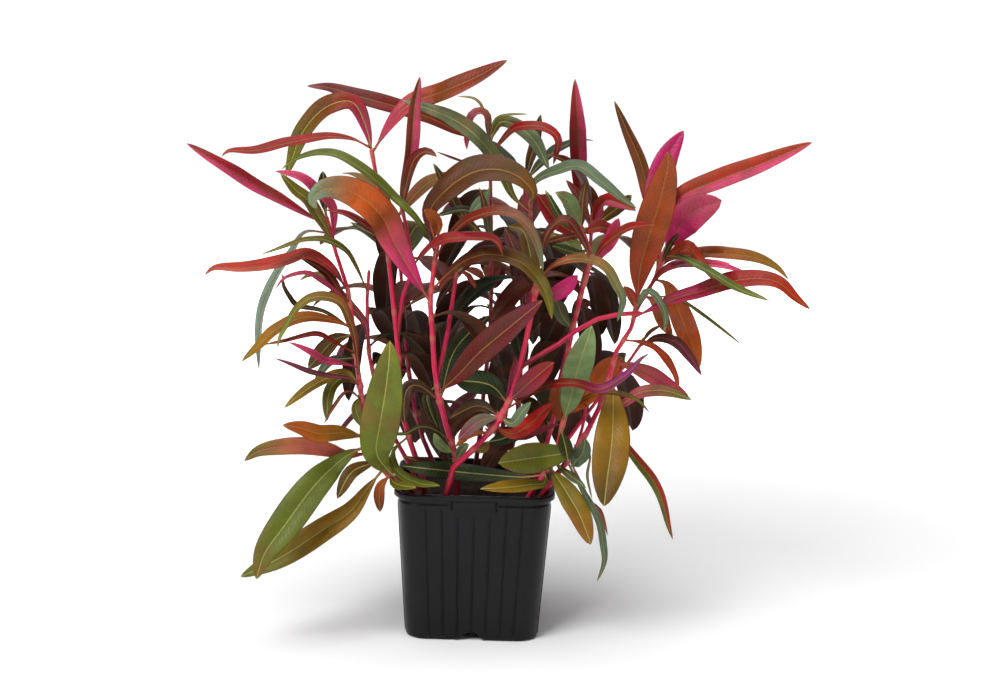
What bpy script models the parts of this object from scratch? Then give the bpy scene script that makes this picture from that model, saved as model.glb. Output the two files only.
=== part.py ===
"""Potted red leaved water plant: a square nursery pot, its soil, the stems and their leaves.

Stems and leaves are placed by where they are seen in the view the plant was read from, as pixel
positions in a frame 1000 wide and 700 high, each with a depth in millimetres. Depth is zero at the
middle of the pot and negative toward the viewer.
"""
import math

import bmesh
import bpy
import numpy as np
from mathutils import Vector
from mathutils.kdtree import KDTree

MM = 0.001

# The view the plant was read from
VIEW_POINT = (12.0, -1200.0, 393.0)
VIEW_PITCH = math.radians(11.0)
VIEW_ROLL = math.radians(1.57)
VIEW_FOCAL = 2160.0
VIEW_MIDDLE = (500.0, 350.0)
PIXELS_PER_MM = 1.766

# Pot
POT_HEIGHT = 85.5
RIM_WIDTH = 90.0
RIM_DROP = 3.2
RIM_CORNER = 14.5
BODY_TOP_WIDTH = 86.0
BODY_BASE_WIDTH = 74.4
BODY_TOP_CORNER = 13.0
BODY_BASE_CORNER = 12.0
WALL = 1.3
FLOOR = 1.5
CORNER_STEPS = 4
NOTCH_BASE_WIDTH = 15.4
NOTCH_TOP_WIDTH = 5.0
NOTCH_HEIGHT = 4.7
NOTCH_DEPTH = 16.0
NOTCH_SKIN = 1.4
TAB_WIDTH = 25.0
TAB_DROP = 10.0
DRAIN_RADIUS = 3.5
DRAIN_SIDES = 10
DRAIN_SPOT = 22.0

# Soil
SOIL_TOP = 77.0
SOIL_CROWN = 78.6
SOIL_GAP = 0.3
SOIL_PLAY = 0.3
SOIL_CROWN_INSET = 12.0
ROOT_DEPTH = 12.0
HOLE_CORNERS = 2

# Leaves and stems
GAP = 0.3
LEAF_SPACING = 2.7
SHARP_BEND = math.radians(75.0)
NEIGHBOUR_REACH = 26.0
PAIR_SKEW = 35.0
PAIR_SMALLER = 0.93
PAIR_REACH = 0.9
EXTRA_RISE = 0.35
EXTRA_DROOP = 0.3
SETTLE_ROUNDS = 160
SETTLE_SHARE = 0.6
STEEPEST = 1.1
FAN_MIDDLE = 1.2
FAN_TIP = 1.65
LEAST_ROOM = 0.75
EDGE_ROOM = 0.5
FOLD_ROOM = 0.2
NATURAL_DEPTH = 0.35
NATURAL_WIDTH = 0.9
FREE_AFTER = 22.0
PLANT_MIDDLE = 10.0
HANG_TURN = 0.5
PETIOLE_SHARE = 0.16
BLADE_START = 0.05
BLADE_BASE_POWER = 0.9
BLADE_TIP_POWER = 0.75
STEM_SIDES_RESOLUTION = 1
STEM_CORNERS = 10
SHOOT_CORNERS = 7
STEM_STEPS = 8
PETIOLE_HALF_WIDTH = 0.75
PETIOLE_HALF_THICKNESS = 0.7
BLADE_HALF_THICKNESS = 0.4
TIP_HALF_WIDTH = 0.35
BIG_LEAF_RINGS = (0.0, 0.09, 0.22, 0.38, 0.54, 0.7, 0.86, 1.0)
SMALL_LEAF_RINGS = (0.0, 0.16, 0.45, 0.76, 1.0)
SHORT_LEAF_RINGS = (0.0, 0.22, 0.6, 1.0)
SHORT_LEAF = 34.0

# Name, parent, root on the soil or None, radii, depths at the bottom and the top, path from the bottom
STEMS = (
    ("stem_centre_left", None, (-10, -20), (1.7, 1.2), (-20, -36),
     ((457, 462), (452, 447), (445, 420), (438, 394), (435, 376), (433, 340), (430, 305), (433, 275),
      (436, 255), (438, 238))),
    ("stem_centre_left_shoot", "stem_centre_left", None, (1.3, 1.0), (-26, -14),
     ((436, 380), (444, 350), (449, 325), (452, 303), (455, 285), (457, 272))),
    ("stem_front_bright", None, (-16, -34), (1.7, 1.3), (-37, -48),
     ((453, 468), (480, 443), (505, 413), (512, 395), (519, 372), (526, 340), (532, 312), (536, 288),
      (538, 275))),
    ("stem_tall_left", None, (-27, -22), (1.6, 1.0), (-24, -10),
     ((417, 456), (405, 432), (399, 412), (400, 385), (399, 360), (397, 338), (394, 310), (391, 280),
      (388, 258), (383, 205), (379, 190), (374, 165), (371, 148))),
    ("stem_tall_left_shoot", "stem_tall_left", None, (1.1, 0.9), (-16, -27),
     ((398, 345), (401, 305), (406, 285), (412, 268), (408, 235), (401, 205))),
    ("stem_left", None, (-30, -29), (1.5, 1.0), (-36, -18),
     ((402, 481), (386, 473), (367, 450), (362, 400), (358, 372), (355, 345), (352, 315), (346, 280),
      (340, 262), (335, 250), (326, 215))),
    ("stem_left_inner", None, (-32, -4), (1.3, 0.9), (-5, -10),
     ((408, 462), (395, 440), (380, 400), (370, 362), (369, 343), (367, 320), (367, 300), (368, 288),
      (369, 270))),
    ("stem_right_inner", None, (33, -4), (1.5, 1.0), (-6, -22),
     ((548, 440), (560, 390), (573, 328), (580, 300), (585, 282), (593, 268), (590, 250), (580, 225))),
    ("stem_front_crossing", "stem_front_bright", None, (1.4, 1.2), (-42, -34),
     ((520, 368), (540, 355), (560, 343), (580, 328), (600, 318), (620, 314), (642, 313))),
    ("stem_right", None, (35, -29), (1.7, 1.1), (-32, -24),
     ((560, 470), (580, 445), (595, 415), (605, 395), (612, 362), (620, 345), (630, 330), (637, 316),
      (638, 300))),
    ("stem_right_fork", "stem_right", None, (1.0, 0.9), (-24, -22),
     ((637, 316), (645, 295), (653, 282), (660, 268), (664, 250))),
    ("stem_right_thin", "stem_right", None, (0.9, 0.8), (-27, -14),
     ((576, 451), (583, 425), (586, 405), (588, 392))),
    ("stem_low_right", None, (28, -31), (1.5, 1.0), (-35, -38),
     ((548, 468), (556, 452), (561, 430), (566, 414))),
    ("stem_back_centre", None, (8, 12), (1.5, 1.0), (12, 9),
     ((498, 450), (508, 400), (513, 370), (519, 350), (527, 327), (530, 300), (531, 250), (530, 200))),
    ("stem_back_tall", None, (-2, 22), (1.4, 0.8), (20, 28),
     ((480, 440), (485, 373), (489, 355), (491, 300), (491, 205), (489, 140))),
    ("stem_back_right", None, (16, 28), (1.4, 0.9), (28, 66),
     ((515, 440), (520, 380), (524, 320), (524, 250), (525, 178))),
    ("stem_far_right", None, (28, 24), (1.4, 0.9), (24, 34),
     ((545, 440), (562, 370), (578, 300), (590, 250), (592, 212))),
    ("stem_rosette_right", None, (35, 12), (1.2, 0.8), (11, 4),
     ((575, 430), (605, 390), (625, 365), (637, 355), (641, 344))),
    ("stem_back_left", None, (-22, 26), (1.4, 0.9), (26, 66),
     ((420, 430), (410, 380), (404, 320), (400, 260), (396, 215))),
)

# Own name or "", stem, width seen, turn, fold, depths half way and at the tip, path from base to tip
LEAVES = (
    ("leaf_top_left_low", "stem_tall_left", 11, 50, 12, -18, -22,
     ((371, 149), (352, 139), (325, 137), (290, 143), (255, 151), (230, 151), (221, 157))),
    ("leaf_top_left_hook", "stem_tall_left", 20, 20, 12, 0, -5,
     ((371, 152), (366, 128), (352, 102), (325, 108), (303, 132), (292, 160), (286, 177))),
    ("leaf_top_right_spear", "stem_tall_left", 20, 30, 10, -13, -15,
     ((373, 150), (392, 122), (412, 103), (440, 93), (475, 78), (508, 60))),
    ("leaf_top_upright", "stem_tall_left_shoot", 13, 25, 18, -29, -24,
     ((401, 212), (403, 190), (411, 150), (414, 110), (420, 76))),
    ("", "stem_tall_left_shoot", 12, 45, 12, -30, -36,
     ((401, 207), (412, 165), (425, 152), (437, 157))),
    ("", "stem_tall_left_shoot", 11, 58, 12, -42, -46,
     ((411, 270), (425, 252), (445, 240), (475, 238), (495, 241), (503, 256))),
    ("", "stem_tall_left_shoot", 8, 58, 10, -32, -34,
     ((411, 262), (385, 240), (365, 225), (345, 214), (325, 210))),
    ("", "stem_tall_left_shoot", 8, 55, 10, -12, -8,
     ((410, 248), (398, 248), (350, 222))),
    ("", "stem_tall_left", 8, 60, 10, -42, -53,
     ((407, 436), (393, 450), (393, 465), (403, 477), (420, 484), (440, 486))),
    ("", "stem_centre_left", 12, 30, 10, -34, -38,
     ((438, 240), (436, 222), (424, 210))),
    ("leaf_long_green", "stem_centre_left", 10, 60, 12, -44, -40,
     ((437, 242), (425, 232), (412, 215), (395, 200), (375, 180), (355, 165), (335, 155), (315, 154),
      (295, 160), (281, 170))),
    ("leaf_brown_arch", "stem_centre_left", 28, 35, 10, -36, -40,
     ((437, 236), (430, 212), (450, 187), (475, 172), (500, 170), (520, 178), (533, 193), (530, 201))),
    ("leaf_front_arch_high", "stem_centre_left", 11, 55, 12, -50, -56,
     ((437, 264), (445, 243), (460, 226), (475, 217), (495, 212), (515, 216), (530, 230), (538, 250),
      (543, 272))),
    ("leaf_front_arch_low", "stem_centre_left", 16, 45, 12, -53, -60,
     ((434, 292), (455, 268), (475, 257), (495, 255), (515, 260), (530, 270), (545, 292), (552, 320))),
    ("leaf_big_rust_left", "stem_centre_left", 30, 15, 10, -44, -52,
     ((430, 303), (413, 275), (403, 258), (392, 238), (383, 218), (365, 200), (345, 190), (325, 189),
      (312, 200), (318, 209))),
    ("leaf_centre_spear", "stem_centre_left", 26, 15, 14, -53, -58,
     ((438, 392), (460, 373), (480, 352), (510, 327), (543, 300))),
    ("", "stem_centre_left", 14, 10, 8, -30, -32,
     ((436, 392), (420, 386), (408, 388), (404, 405), (405, 425))),
    ("", "stem_centre_left", 10, 20, 8, -14, -12,
     ((435, 386), (427, 395), (430, 410), (438, 428))),
    ("", "stem_centre_left", 4, 60, 8, -34, -38,
     ((450, 441), (435, 430), (420, 427), (405, 434), (387, 434))),
    ("", "stem_centre_left", 18, 10, 8, -12, -8,
     ((438, 396), (455, 350), (490, 315))),
    ("", "stem_centre_left", 8, 50, 8, -22, -24,
     ((456, 461), (445, 465), (420, 462), (402, 456))),
    ("", "stem_centre_left", 10, 15, 8, -26, -28,
     ((453, 452), (440, 445), (434, 433))),
    ("", "stem_centre_left", 10, 20, 8, -28, -30,
     ((456, 459), (462, 450), (469, 444))),
    ("", "stem_centre_left_shoot", 5, 55, 10, -16, -20,
     ((456, 276), (448, 279), (440, 290))),
    ("", "stem_centre_left_shoot", 6, 55, 10, -14, -18,
     ((457, 273), (466, 274), (475, 288))),
    ("", "stem_front_bright", 24, 10, 8, -22, -16,
     ((509, 402), (490, 385), (455, 380))),
    ("", "stem_front_bright", 14, 30, 10, -34, -30,
     ((503, 411), (478, 406), (450, 418))),
    ("", "stem_front_bright", 14, 20, 10, -44, -46,
     ((500, 417), (480, 421), (458, 440))),
    ("", "stem_front_bright", 7, 40, 8, -32, -32,
     ((489, 430), (470, 435), (455, 447))),
    ("", "stem_front_bright", 9, 20, 8, -28, -28,
     ((473, 450), (483, 449), (488, 441))),
    ("", "stem_front_bright", 16, 15, 8, -26, -24,
     ((503, 416), (519, 428), (505, 438), (488, 442))),
    ("", "stem_front_bright", 11, 15, 8, -46, -48,
     ((504, 416), (512, 424), (522, 412), (531, 402))),
    ("", "stem_front_bright", 20, 10, 10, -48, -52,
     ((511, 399), (535, 378), (554, 362))),
    ("leaf_violet_strap", "stem_front_bright", 9, 50, 10, -52, -50,
     ((508, 408), (535, 392), (550, 385), (575, 384), (600, 390), (615, 383), (630, 372), (640, 360),
      (650, 353))),
    ("", "stem_front_bright", 16, 5, 8, -32, -34,
     ((494, 428), (512, 434), (530, 424), (553, 402))),
    ("", "stem_front_bright", 8, 30, 8, -26, -28,
     ((492, 430), (520, 437), (540, 430), (560, 424))),
    ("leaf_front_hook_right", "stem_front_bright", 11, 50, 12, -50, -55,
     ((538, 279), (550, 268), (565, 261), (580, 259), (595, 262), (607, 270), (615, 285), (622, 300),
      (617, 322))),
    ("", "stem_front_bright", 16, 10, 8, -45, -46,
     ((536, 290), (551, 295), (565, 288), (578, 275))),
    ("", "stem_front_bright", 18, 40, 10, -30, -26,
     ((538, 277), (525, 235), (508, 226))),
    ("", "stem_front_bright", 16, 25, 10, -20, -15,
     ((536, 286), (520, 262), (505, 228))),
    ("", "stem_front_bright", 9, 50, 10, -47, -52,
     ((539, 276), (545, 240), (556, 224), (567, 220), (577, 232), (586, 248), (589, 260))),
    ("leaf_left_spear", "stem_left", 13, 40, 14, -22, -22,
     ((327, 219), (313, 218), (250, 183), (186, 143))),
    ("", "stem_left", 10, 45, 12, -28, -26,
     ((331, 232), (332, 208), (315, 190), (300, 177), (275, 171))),
    ("", "stem_left", 12, 35, 10, -32, -34,
     ((328, 222), (310, 203), (295, 190), (280, 173))),
    ("", "stem_left", 11, 30, 10, -17, -14,
     ((326, 217), (323, 195), (323, 171))),
    ("leaf_left_hanging", "stem_left", 10, 48, 12, -20, -22,
     ((327, 220), (305, 232), (292, 252), (280, 270), (270, 287), (263, 305), (260, 325), (259, 345),
      (259, 370))),
    ("leaf_left_red", "stem_left", 13, 45, 12, -38, -40,
     ((349, 292), (335, 272), (320, 260), (305, 254), (290, 259), (265, 266), (240, 268), (215, 268),
      (204, 276))),
    ("", "stem_left", 9, 45, 10, -30, -28,
     ((350, 305), (338, 290), (328, 275), (315, 265), (299, 257))),
    ("", "stem_left", 5, 50, 10, -44, -46,
     ((348, 296), (320, 280), (306, 273), (285, 278), (275, 290))),
    ("", "stem_left", 5, 50, 10, -26, -26,
     ((353, 330), (325, 312), (298, 306), (290, 298), (283, 285), (283, 272))),
    ("leaf_left_olive_hook", "stem_left", 9, 45, 12, -46, -42,
     ((358, 374), (355, 340), (348, 318), (340, 303), (325, 297), (310, 299), (297, 309), (287, 325),
      (279, 340), (278, 350))),
    ("", "stem_left", 12, 40, 12, -36, -34,
     ((353, 330), (345, 325), (330, 320), (310, 317), (290, 322), (272, 333), (260, 345), (241, 362))),
    ("", "stem_left", 5, 55, 10, -42, -42,
     ((355, 352), (345, 348), (330, 340), (315, 334), (285, 341), (263, 345))),
    ("", "stem_left", 7, 50, 10, -50, -48,
     ((357, 366), (340, 363), (325, 361), (315, 355), (300, 347), (288, 342))),
    ("", "stem_left", 17, 15, 8, -24, -22,
     ((354, 335), (335, 340), (320, 355), (308, 369))),
    ("", "stem_left", 5, 50, 10, -48, -50,
     ((359, 380), (350, 379), (330, 376), (310, 372), (290, 364), (274, 358))),
    ("", "stem_left", 9, 40, 10, -28, -28,
     ((357, 360), (345, 359), (330, 362), (314, 383))),
    ("", "stem_left", 10, 40, 10, -40, -38,
     ((359, 376), (345, 372), (320, 382), (300, 395), (284, 408))),
    ("", "stem_left", 12, 20, 8, -34, -34,
     ((360, 388), (345, 378), (333, 385), (328, 400), (327, 421))),
    ("", "stem_left", 4, 50, 8, -50, -52,
     ((361, 399), (348, 391), (335, 405), (324, 424))),
    ("", "stem_left", 10, 20, 8, -32, -32,
     ((362, 394), (356, 408), (362, 427))),
    ("leaf_low_left_ochre", "stem_left", 17, 20, 10, -46, -48,
     ((365, 437), (341, 433), (319, 434), (300, 428), (282, 425))),
    ("leaf_low_left_salmon", "stem_left", 17, 15, 10, -38, -38,
     ((368, 454), (345, 455), (329, 450), (300, 446), (262, 450), (244, 461))),
    ("leaf_low_left_green", "stem_left", 32, 10, 10, -58, -62,
     ((366, 444), (345, 457), (315, 485), (285, 525), (265, 553), (256, 580))),
    ("leaf_low_left_olive", "stem_left", 24, 15, 10, -46, -46,
     ((381, 473), (368, 488), (350, 512), (320, 532), (285, 555), (255, 570), (240, 577))),
    ("", "stem_left", 14, 15, 10, -44, -44,
     ((371, 460), (352, 472), (337, 499))),
    ("", "stem_left", 11, 10, 8, -36, -36,
     ((383, 475), (380, 488), (380, 512))),
    ("", "stem_left", 9, 50, 8, -50, -52,
     ((386, 477), (395, 484), (416, 488))),
    ("leaf_front_shield", "stem_left", 38, 0, 8, -64, -60,
     ((382, 474), (377, 455), (380, 425), (385, 395), (389, 362), (390, 340))),
    ("", "stem_left_inner", 6, 58, 10, -32, -36,
     ((368, 292), (355, 265), (345, 250), (325, 240), (305, 240), (290, 245), (260, 255))),
    ("", "stem_left_inner", 9, 50, 10, -14, -12,
     ((370, 350), (365, 325), (350, 306), (335, 290), (325, 277), (310, 275), (299, 281))),
    ("leaf_top_right_upright", "stem_far_right", 17, 20, 16, 6, 3,
     ((591, 218), (581, 198), (579, 150), (578, 120), (575, 78))),
    ("", "stem_far_right", 11, 50, 10, 12, 10,
     ((591, 214), (585, 185), (568, 163), (547, 154))),
    ("", "stem_far_right", 8, 30, 8, 26, 30,
     ((592, 220), (595, 200), (590, 185))),
    ("", "stem_far_right", 6, 30, 8, 34, 38,
     ((591, 222), (596, 215), (590, 202))),
    ("", "stem_far_right", 15, 30, 12, 4, 0,
     ((592, 215), (604, 202), (620, 204), (636, 211))),
    ("", "stem_far_right", 14, 30, 10, 16, 18,
     ((591, 226), (612, 212), (625, 203), (632, 195))),
    ("", "stem_far_right", 10, 25, 8, 10, 6,
     ((590, 219), (580, 200), (566, 180))),
    ("leaf_top_grey_arch", "stem_back_centre", 13, 50, 12, -14, -20,
     ((530, 204), (535, 182), (560, 170), (580, 167), (600, 182), (620, 198), (637, 209))),
    ("leaf_top_grey_left", "stem_back_centre", 17, 30, 10, -4, -8,
     ((530, 210), (512, 195), (500, 168), (480, 140), (450, 118), (402, 100))),
    ("", "stem_back_right", 11, 20, 10, 30, 24,
     ((525, 182), (530, 160), (536, 140), (541, 114))),
    ("leaf_top_left_long", "stem_back_tall", 17, 30, 10, 13, 12,
     ((489, 150), (478, 139), (455, 130), (430, 118), (400, 108), (360, 97), (330, 88), (306, 86))),
    ("", "stem_back_tall", 9, 45, 10, 8, 4,
     ((489, 143), (487, 118), (478, 112), (469, 122), (467, 150))),
    ("", "stem_back_tall", 3, 45, 8, 20, 22,
     ((489, 142), (495, 120), (507, 115), (528, 114))),
    ("", "stem_back_tall", 15, 20, 10, 18, 16,
     ((489, 146), (500, 122), (520, 128), (535, 142), (549, 170))),
    ("", "stem_back_tall", 10, 40, 10, 10, 8,
     ((490, 156), (510, 132), (525, 126), (545, 128), (558, 140), (553, 165))),
    ("", "stem_back_tall", 3, 45, 8, 26, 28,
     ((489, 141), (484, 112), (475, 99), (457, 96))),
    ("", "stem_back_tall", 3, 50, 8, 8, 4,
     ((490, 168), (464, 162), (437, 152))),
    ("", "stem_back_tall", 11, 30, 10, 2, -2,
     ((491, 244), (462, 215), (445, 185), (433, 163))),
    ("", "stem_back_tall", 12, 20, 10, 4, -6,
     ((490, 186), (485, 197), (470, 215))),
    ("", "stem_back_tall", 8, 30, 10, 8, 6,
     ((491, 250), (484, 205), (479, 187))),
    ("", "stem_back_tall", 8, 50, 10, 4, -4,
     ((491, 220), (465, 210), (437, 216))),
    ("leaf_broad_rust_right", "stem_right", 33, 5, 8, -42, -46,
     ((638, 303), (640, 270), (648, 240), (660, 200), (668, 165), (667, 151))),
    ("", "stem_right_fork", 26, 5, 8, -18, -14,
     ((663, 256), (655, 215), (660, 180), (668, 156), (684, 130))),
    ("leaf_right_spear", "stem_right_fork", 20, 30, 14, -14, -12,
     ((662, 260), (662, 230), (680, 198), (720, 180), (760, 165), (813, 142))),
    ("leaf_right_upright", "stem_right_fork", 13, 30, 14, -10, -8,
     ((661, 264), (657, 225), (648, 190), (640, 160), (627, 130), (614, 100))),
    ("leaf_magenta_right", "stem_right_fork", 32, 5, 8, -26, -26,
     ((664, 252), (690, 215), (722, 200))),
    ("", "stem_right_fork", 6, 30, 8, -30, -34,
     ((664, 254), (672, 242), (680, 233))),
    ("", "stem_right_fork", 12, 40, 10, -31, -33,
     ((662, 262), (685, 246), (700, 262), (714, 281))),
    ("leaf_right_arch_red", "stem_right_fork", 13, 48, 12, -19, -20,
     ((650, 288), (665, 261), (690, 255), (720, 254), (750, 257), (775, 267), (789, 280))),
    ("", "stem_right_fork", 10, 52, 10, -33, -31,
     ((648, 292), (662, 272), (685, 264), (715, 265), (744, 271))),
    ("leaf_right_green", "stem_right_fork", 9, 52, 10, -40, -42,
     ((664, 253), (680, 257), (700, 267), (718, 277), (740, 290), (770, 301))),
    ("", "stem_right_fork", 4, 62, 8, -20, -20,
     ((645, 297), (675, 298), (700, 313), (742, 345))),
    ("leaf_right_hanging", "stem_right_fork", 24, 10, 8, -14, -18,
     ((658, 272), (667, 285), (678, 310), (690, 340), (699, 370))),
    ("", "stem_right_fork", 15, 10, 8, -12, -14,
     ((645, 296), (655, 303), (665, 325), (673, 336))),
    ("leaf_right_long_pink", "stem_right", 17, 38, 12, -38, -40,
     ((637, 315), (672, 300), (700, 292), (730, 282), (760, 279), (780, 284), (795, 298), (811, 310))),
    ("", "stem_right", 10, 20, 8, -18, -16,
     ((637, 309), (631, 295), (624, 286))),
    ("", "stem_right", 8, 50, 8, -36, -40,
     ((638, 306), (646, 292), (657, 298), (665, 315), (664, 332))),
    ("", "stem_right", 8, 48, 8, -28, -30,
     ((624, 339), (640, 342), (655, 348), (668, 362), (676, 378), (678, 392))),
    ("leaf_right_pink_low", "stem_right", 17, 20, 10, -26, -28,
     ((612, 364), (628, 366), (650, 375), (670, 388), (690, 399))),
    ("", "stem_right", 12, 30, 8, -34, -36,
     ((604, 398), (622, 404), (635, 395), (650, 391), (670, 392), (692, 400))),
    ("leaf_right_ochre_hanging", "stem_right", 36, 0, 8, -46, -52,
     ((608, 380), (613, 393), (612, 440), (607, 480), (604, 507))),
    ("leaf_low_right_trailing", "stem_right", 10, 40, 10, -30, -28,
     ((602, 402), (612, 425), (627, 448), (640, 465), (652, 480), (661, 498), (668, 525), (673, 540))),
    ("", "stem_right", 3, 45, 8, -24, -24,
     ((582, 441), (590, 455), (587, 475), (592, 499))),
    ("", "stem_right", 8, 45, 8, -22, -20,
     ((566, 462), (582, 490), (598, 520), (603, 545), (604, 562), (597, 582))),
    ("", "stem_right", 5, 40, 8, -14, -12,
     ((570, 457), (588, 500), (600, 511), (608, 536))),
    ("leaf_front_olive", "stem_right", 30, 5, 10, -50, -56,
     ((578, 448), (566, 453), (540, 457), (498, 463))),
    ("", "stem_right", 16, 15, 8, -34, -38,
     ((585, 434), (583, 452), (571, 467))),
    ("", "stem_right_thin", 22, 10, 8, -10, -12,
     ((588, 394), (605, 372), (622, 358))),
    ("", "stem_low_right", 22, 10, 8, -38, -34,
     ((565, 416), (575, 402), (600, 388))),
    ("", "stem_low_right", 22, 10, 8, -24, -18,
     ((563, 422), (560, 400), (560, 378))),
    ("", "stem_low_right", 5, 55, 8, -46, -48,
     ((563, 426), (568, 412), (580, 402), (600, 393), (620, 394), (637, 400), (650, 413))),
    ("", "stem_low_right", 14, 10, 8, -56, -60,
     ((562, 430), (565, 445), (568, 461))),
    ("leaf_rim_drooping", "stem_low_right", 22, 20, 10, -52, -50,
     ((549, 466), (560, 482), (571, 500), (580, 516), (591, 545))),
    ("", "stem_low_right", 12, 50, 10, -54, -56,
     ((549, 467), (545, 483), (530, 485), (505, 488), (480, 489))),
    ("", "stem_low_right", 8, 30, 8, -43, -44,
     ((553, 460), (564, 471), (586, 488))),
    ("leaf_pale_blunt", "stem_low_right", 28, 0, 8, -53, -57,
     ((566, 416), (571, 396), (577, 371), (584, 350), (592, 325))),
    ("", "stem_low_right", 18, 10, 8, -28, -27,
     ((543, 474), (520, 477), (480, 474), (440, 470), (402, 466))),
    ("", "stem_right_inner", 9, 52, 12, -46, -56,
     ((592, 264), (600, 250), (610, 240), (630, 228), (655, 225))),
    ("", "stem_right_inner", 14, 20, 8, -32, -32,
     ((593, 268), (605, 248), (613, 235), (619, 218))),
    ("", "stem_right_inner", 12, 25, 8, -22, -18,
     ((581, 228), (583, 200), (586, 182))),
    ("", "stem_right_inner", 16, 10, 8, -27, -27,
     ((583, 236), (562, 226), (548, 210), (537, 193))),
    ("", "stem_right_inner", 8, 25, 8, -33, -34,
     ((582, 230), (562, 220), (545, 190))),
    ("", "stem_right_inner", 16, 15, 8, -38, -38,
     ((581, 228), (574, 212), (567, 200), (555, 192))),
    ("", "stem_right_inner", 15, 30, 8, -30, -34,
     ((582, 232), (600, 227), (615, 232))),
    ("", "stem_right_inner", 6, 40, 8, -20, -16,
     ((586, 244), (562, 238), (540, 232))),
    ("", "stem_right_inner", 8, 35, 8, -32, -36,
     ((586, 242), (575, 236), (545, 243))),
    ("", "stem_right_inner", 10, 30, 8, -38, -42,
     ((589, 250), (577, 253), (552, 246))),
    ("", "stem_right_inner", 15, 15, 8, -8, -6,
     ((573, 328), (563, 318), (555, 297))),
    ("", "stem_rosette_right", 11, 30, 8, -10, -12,
     ((640, 348), (657, 338), (675, 342), (690, 358), (702, 376))),
    ("", "stem_rosette_right", 4, 45, 8, 2, 0,
     ((641, 345), (650, 332), (662, 325))),
)

# Leaf pairs of the hidden side: stem, share of its length, compass turn, length, width, rise, droop
PAIRS = (
    ("stem_back_tall", 0.6, 88, 62, 13, 0.3, 0.5),
    ("stem_back_right", 0.3, 40, 66, 15, 0.2, 0.6),
    ("stem_back_right", 0.48, 78, 80, 17, 0.3, 0.5),
    ("stem_back_right", 0.66, 25, 66, 15, 0.4, 0.5),
    ("stem_back_right", 0.82, 80, 84, 17, 0.5, 0.5),
    ("stem_back_right", 0.98, 30, 52, 12, 0.7, 0.3),
    ("stem_far_right", 0.62, 70, 66, 15, 0.3, 0.5),
    ("stem_far_right", 0.8, 60, 70, 15, 0.5, 0.5),
    ("stem_back_left", 0.3, 30, 66, 15, 0.2, 0.6),
    ("stem_back_left", 0.48, 82, 80, 17, 0.3, 0.5),
    ("stem_back_left", 0.66, 20, 70, 15, 0.4, 0.5),
    ("stem_back_left", 0.82, 78, 84, 17, 0.5, 0.5),
    ("stem_back_left", 0.98, 40, 54, 12, 0.7, 0.3),
)

# Short leaves that fill the inside of the bush: stem, lowest and highest share of its length, how many
FILLS = (
    ("stem_back_centre", 0.2, 0.9, 14),
    ("stem_back_tall", 0.2, 0.85, 12),
    ("stem_right_inner", 0.2, 0.9, 9),
    ("stem_left_inner", 0.2, 0.9, 7),
    ("stem_far_right", 0.2, 0.85, 9),
    ("stem_back_left", 0.15, 0.85, 8),
    ("stem_back_right", 0.15, 0.85, 8),
    ("stem_rosette_right", 0.3, 0.95, 4),
    ("stem_centre_left_shoot", 0.3, 0.9, 3),
    ("stem_tall_left", 0.2, 0.85, 4),
    ("stem_centre_left", 0.15, 0.75, 3),
)
FILL_SEED = 7
FILL_TRIES = 400
FILL_ROOM = 3.3
FILL_ABOVE_SOIL = 9.0
KIN_REACH = 11.0
OWN_STEM_REACH = 16.0
FILL_LENGTHS = (40.0, 60.0)
FILL_WIDTHS = (14.0, 21.0)
FILL_RISES = (0.0, 0.5)
FILL_DROOPS = (0.2, 1.2)
FILL_SHOWN = 0.4
FILL_NEAREST = -12.0
FILL_FORWARD = 3.0
FILL_MIDDLE = (490.0, 330.0)
FILL_REACH = (175.0, 175.0)

SIGHT = np.array((0.0, math.cos(VIEW_PITCH), -math.sin(VIEW_PITCH)))
UP_PLAIN = np.array((0.0, math.sin(VIEW_PITCH), math.cos(VIEW_PITCH)))
SIDE_PLAIN = np.array((1.0, 0.0, 0.0))
VIEW_RIGHT = math.cos(VIEW_ROLL) * SIDE_PLAIN + math.sin(VIEW_ROLL) * UP_PLAIN
VIEW_UP = math.cos(VIEW_ROLL) * UP_PLAIN - math.sin(VIEW_ROLL) * SIDE_PLAIN


def place(pixels, depths):
    """Points in millimetres seen at these pixels and lying at these depths."""
    pixels = np.asarray(pixels, float)
    depths = np.asarray(depths, float)
    across = (pixels[:, 0] - VIEW_MIDDLE[0]) / VIEW_FOCAL
    above = (VIEW_MIDDLE[1] - pixels[:, 1]) / VIEW_FOCAL
    rays = SIGHT + across[:, None] * VIEW_RIGHT + above[:, None] * VIEW_UP
    reach = (depths - VIEW_POINT[1]) / rays[:, 1]
    return np.array(VIEW_POINT) + rays * reach[:, None]


def seen(points):
    """Pixels at which points in millimetres are seen, with their depths."""
    away = np.asarray(points, float) - np.array(VIEW_POINT)
    reach = away @ SIGHT
    across = VIEW_MIDDLE[0] + VIEW_FOCAL * (away @ VIEW_RIGHT) / reach
    down = VIEW_MIDDLE[1] - VIEW_FOCAL * (away @ VIEW_UP) / reach
    return np.stack((across, down), axis=1), np.asarray(points, float)[:, 1]


def smooth_line(points, count):
    """Evenly spaced points on a smooth line through the given ones."""
    points = np.asarray(points, float)
    ends = (2 * points[0] - points[1], 2 * points[-1] - points[-2])
    padded = np.vstack((ends[0], points, ends[1]))
    dense = []
    steps = np.linspace(0.0, 1.0, 13)[:-1]
    for index in range(1, len(padded) - 2):
        before, start, stop, after = padded[index - 1:index + 3]
        for t in steps:
            dense.append(0.5 * (2 * start + (stop - before) * t
                                + (2 * before - 5 * start + 4 * stop - after) * t ** 2
                                + (3 * start - before - 3 * stop + after) * t ** 3))
    dense.append(points[-1])
    return even_line(np.array(dense), np.linspace(0.0, 1.0, count))


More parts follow.
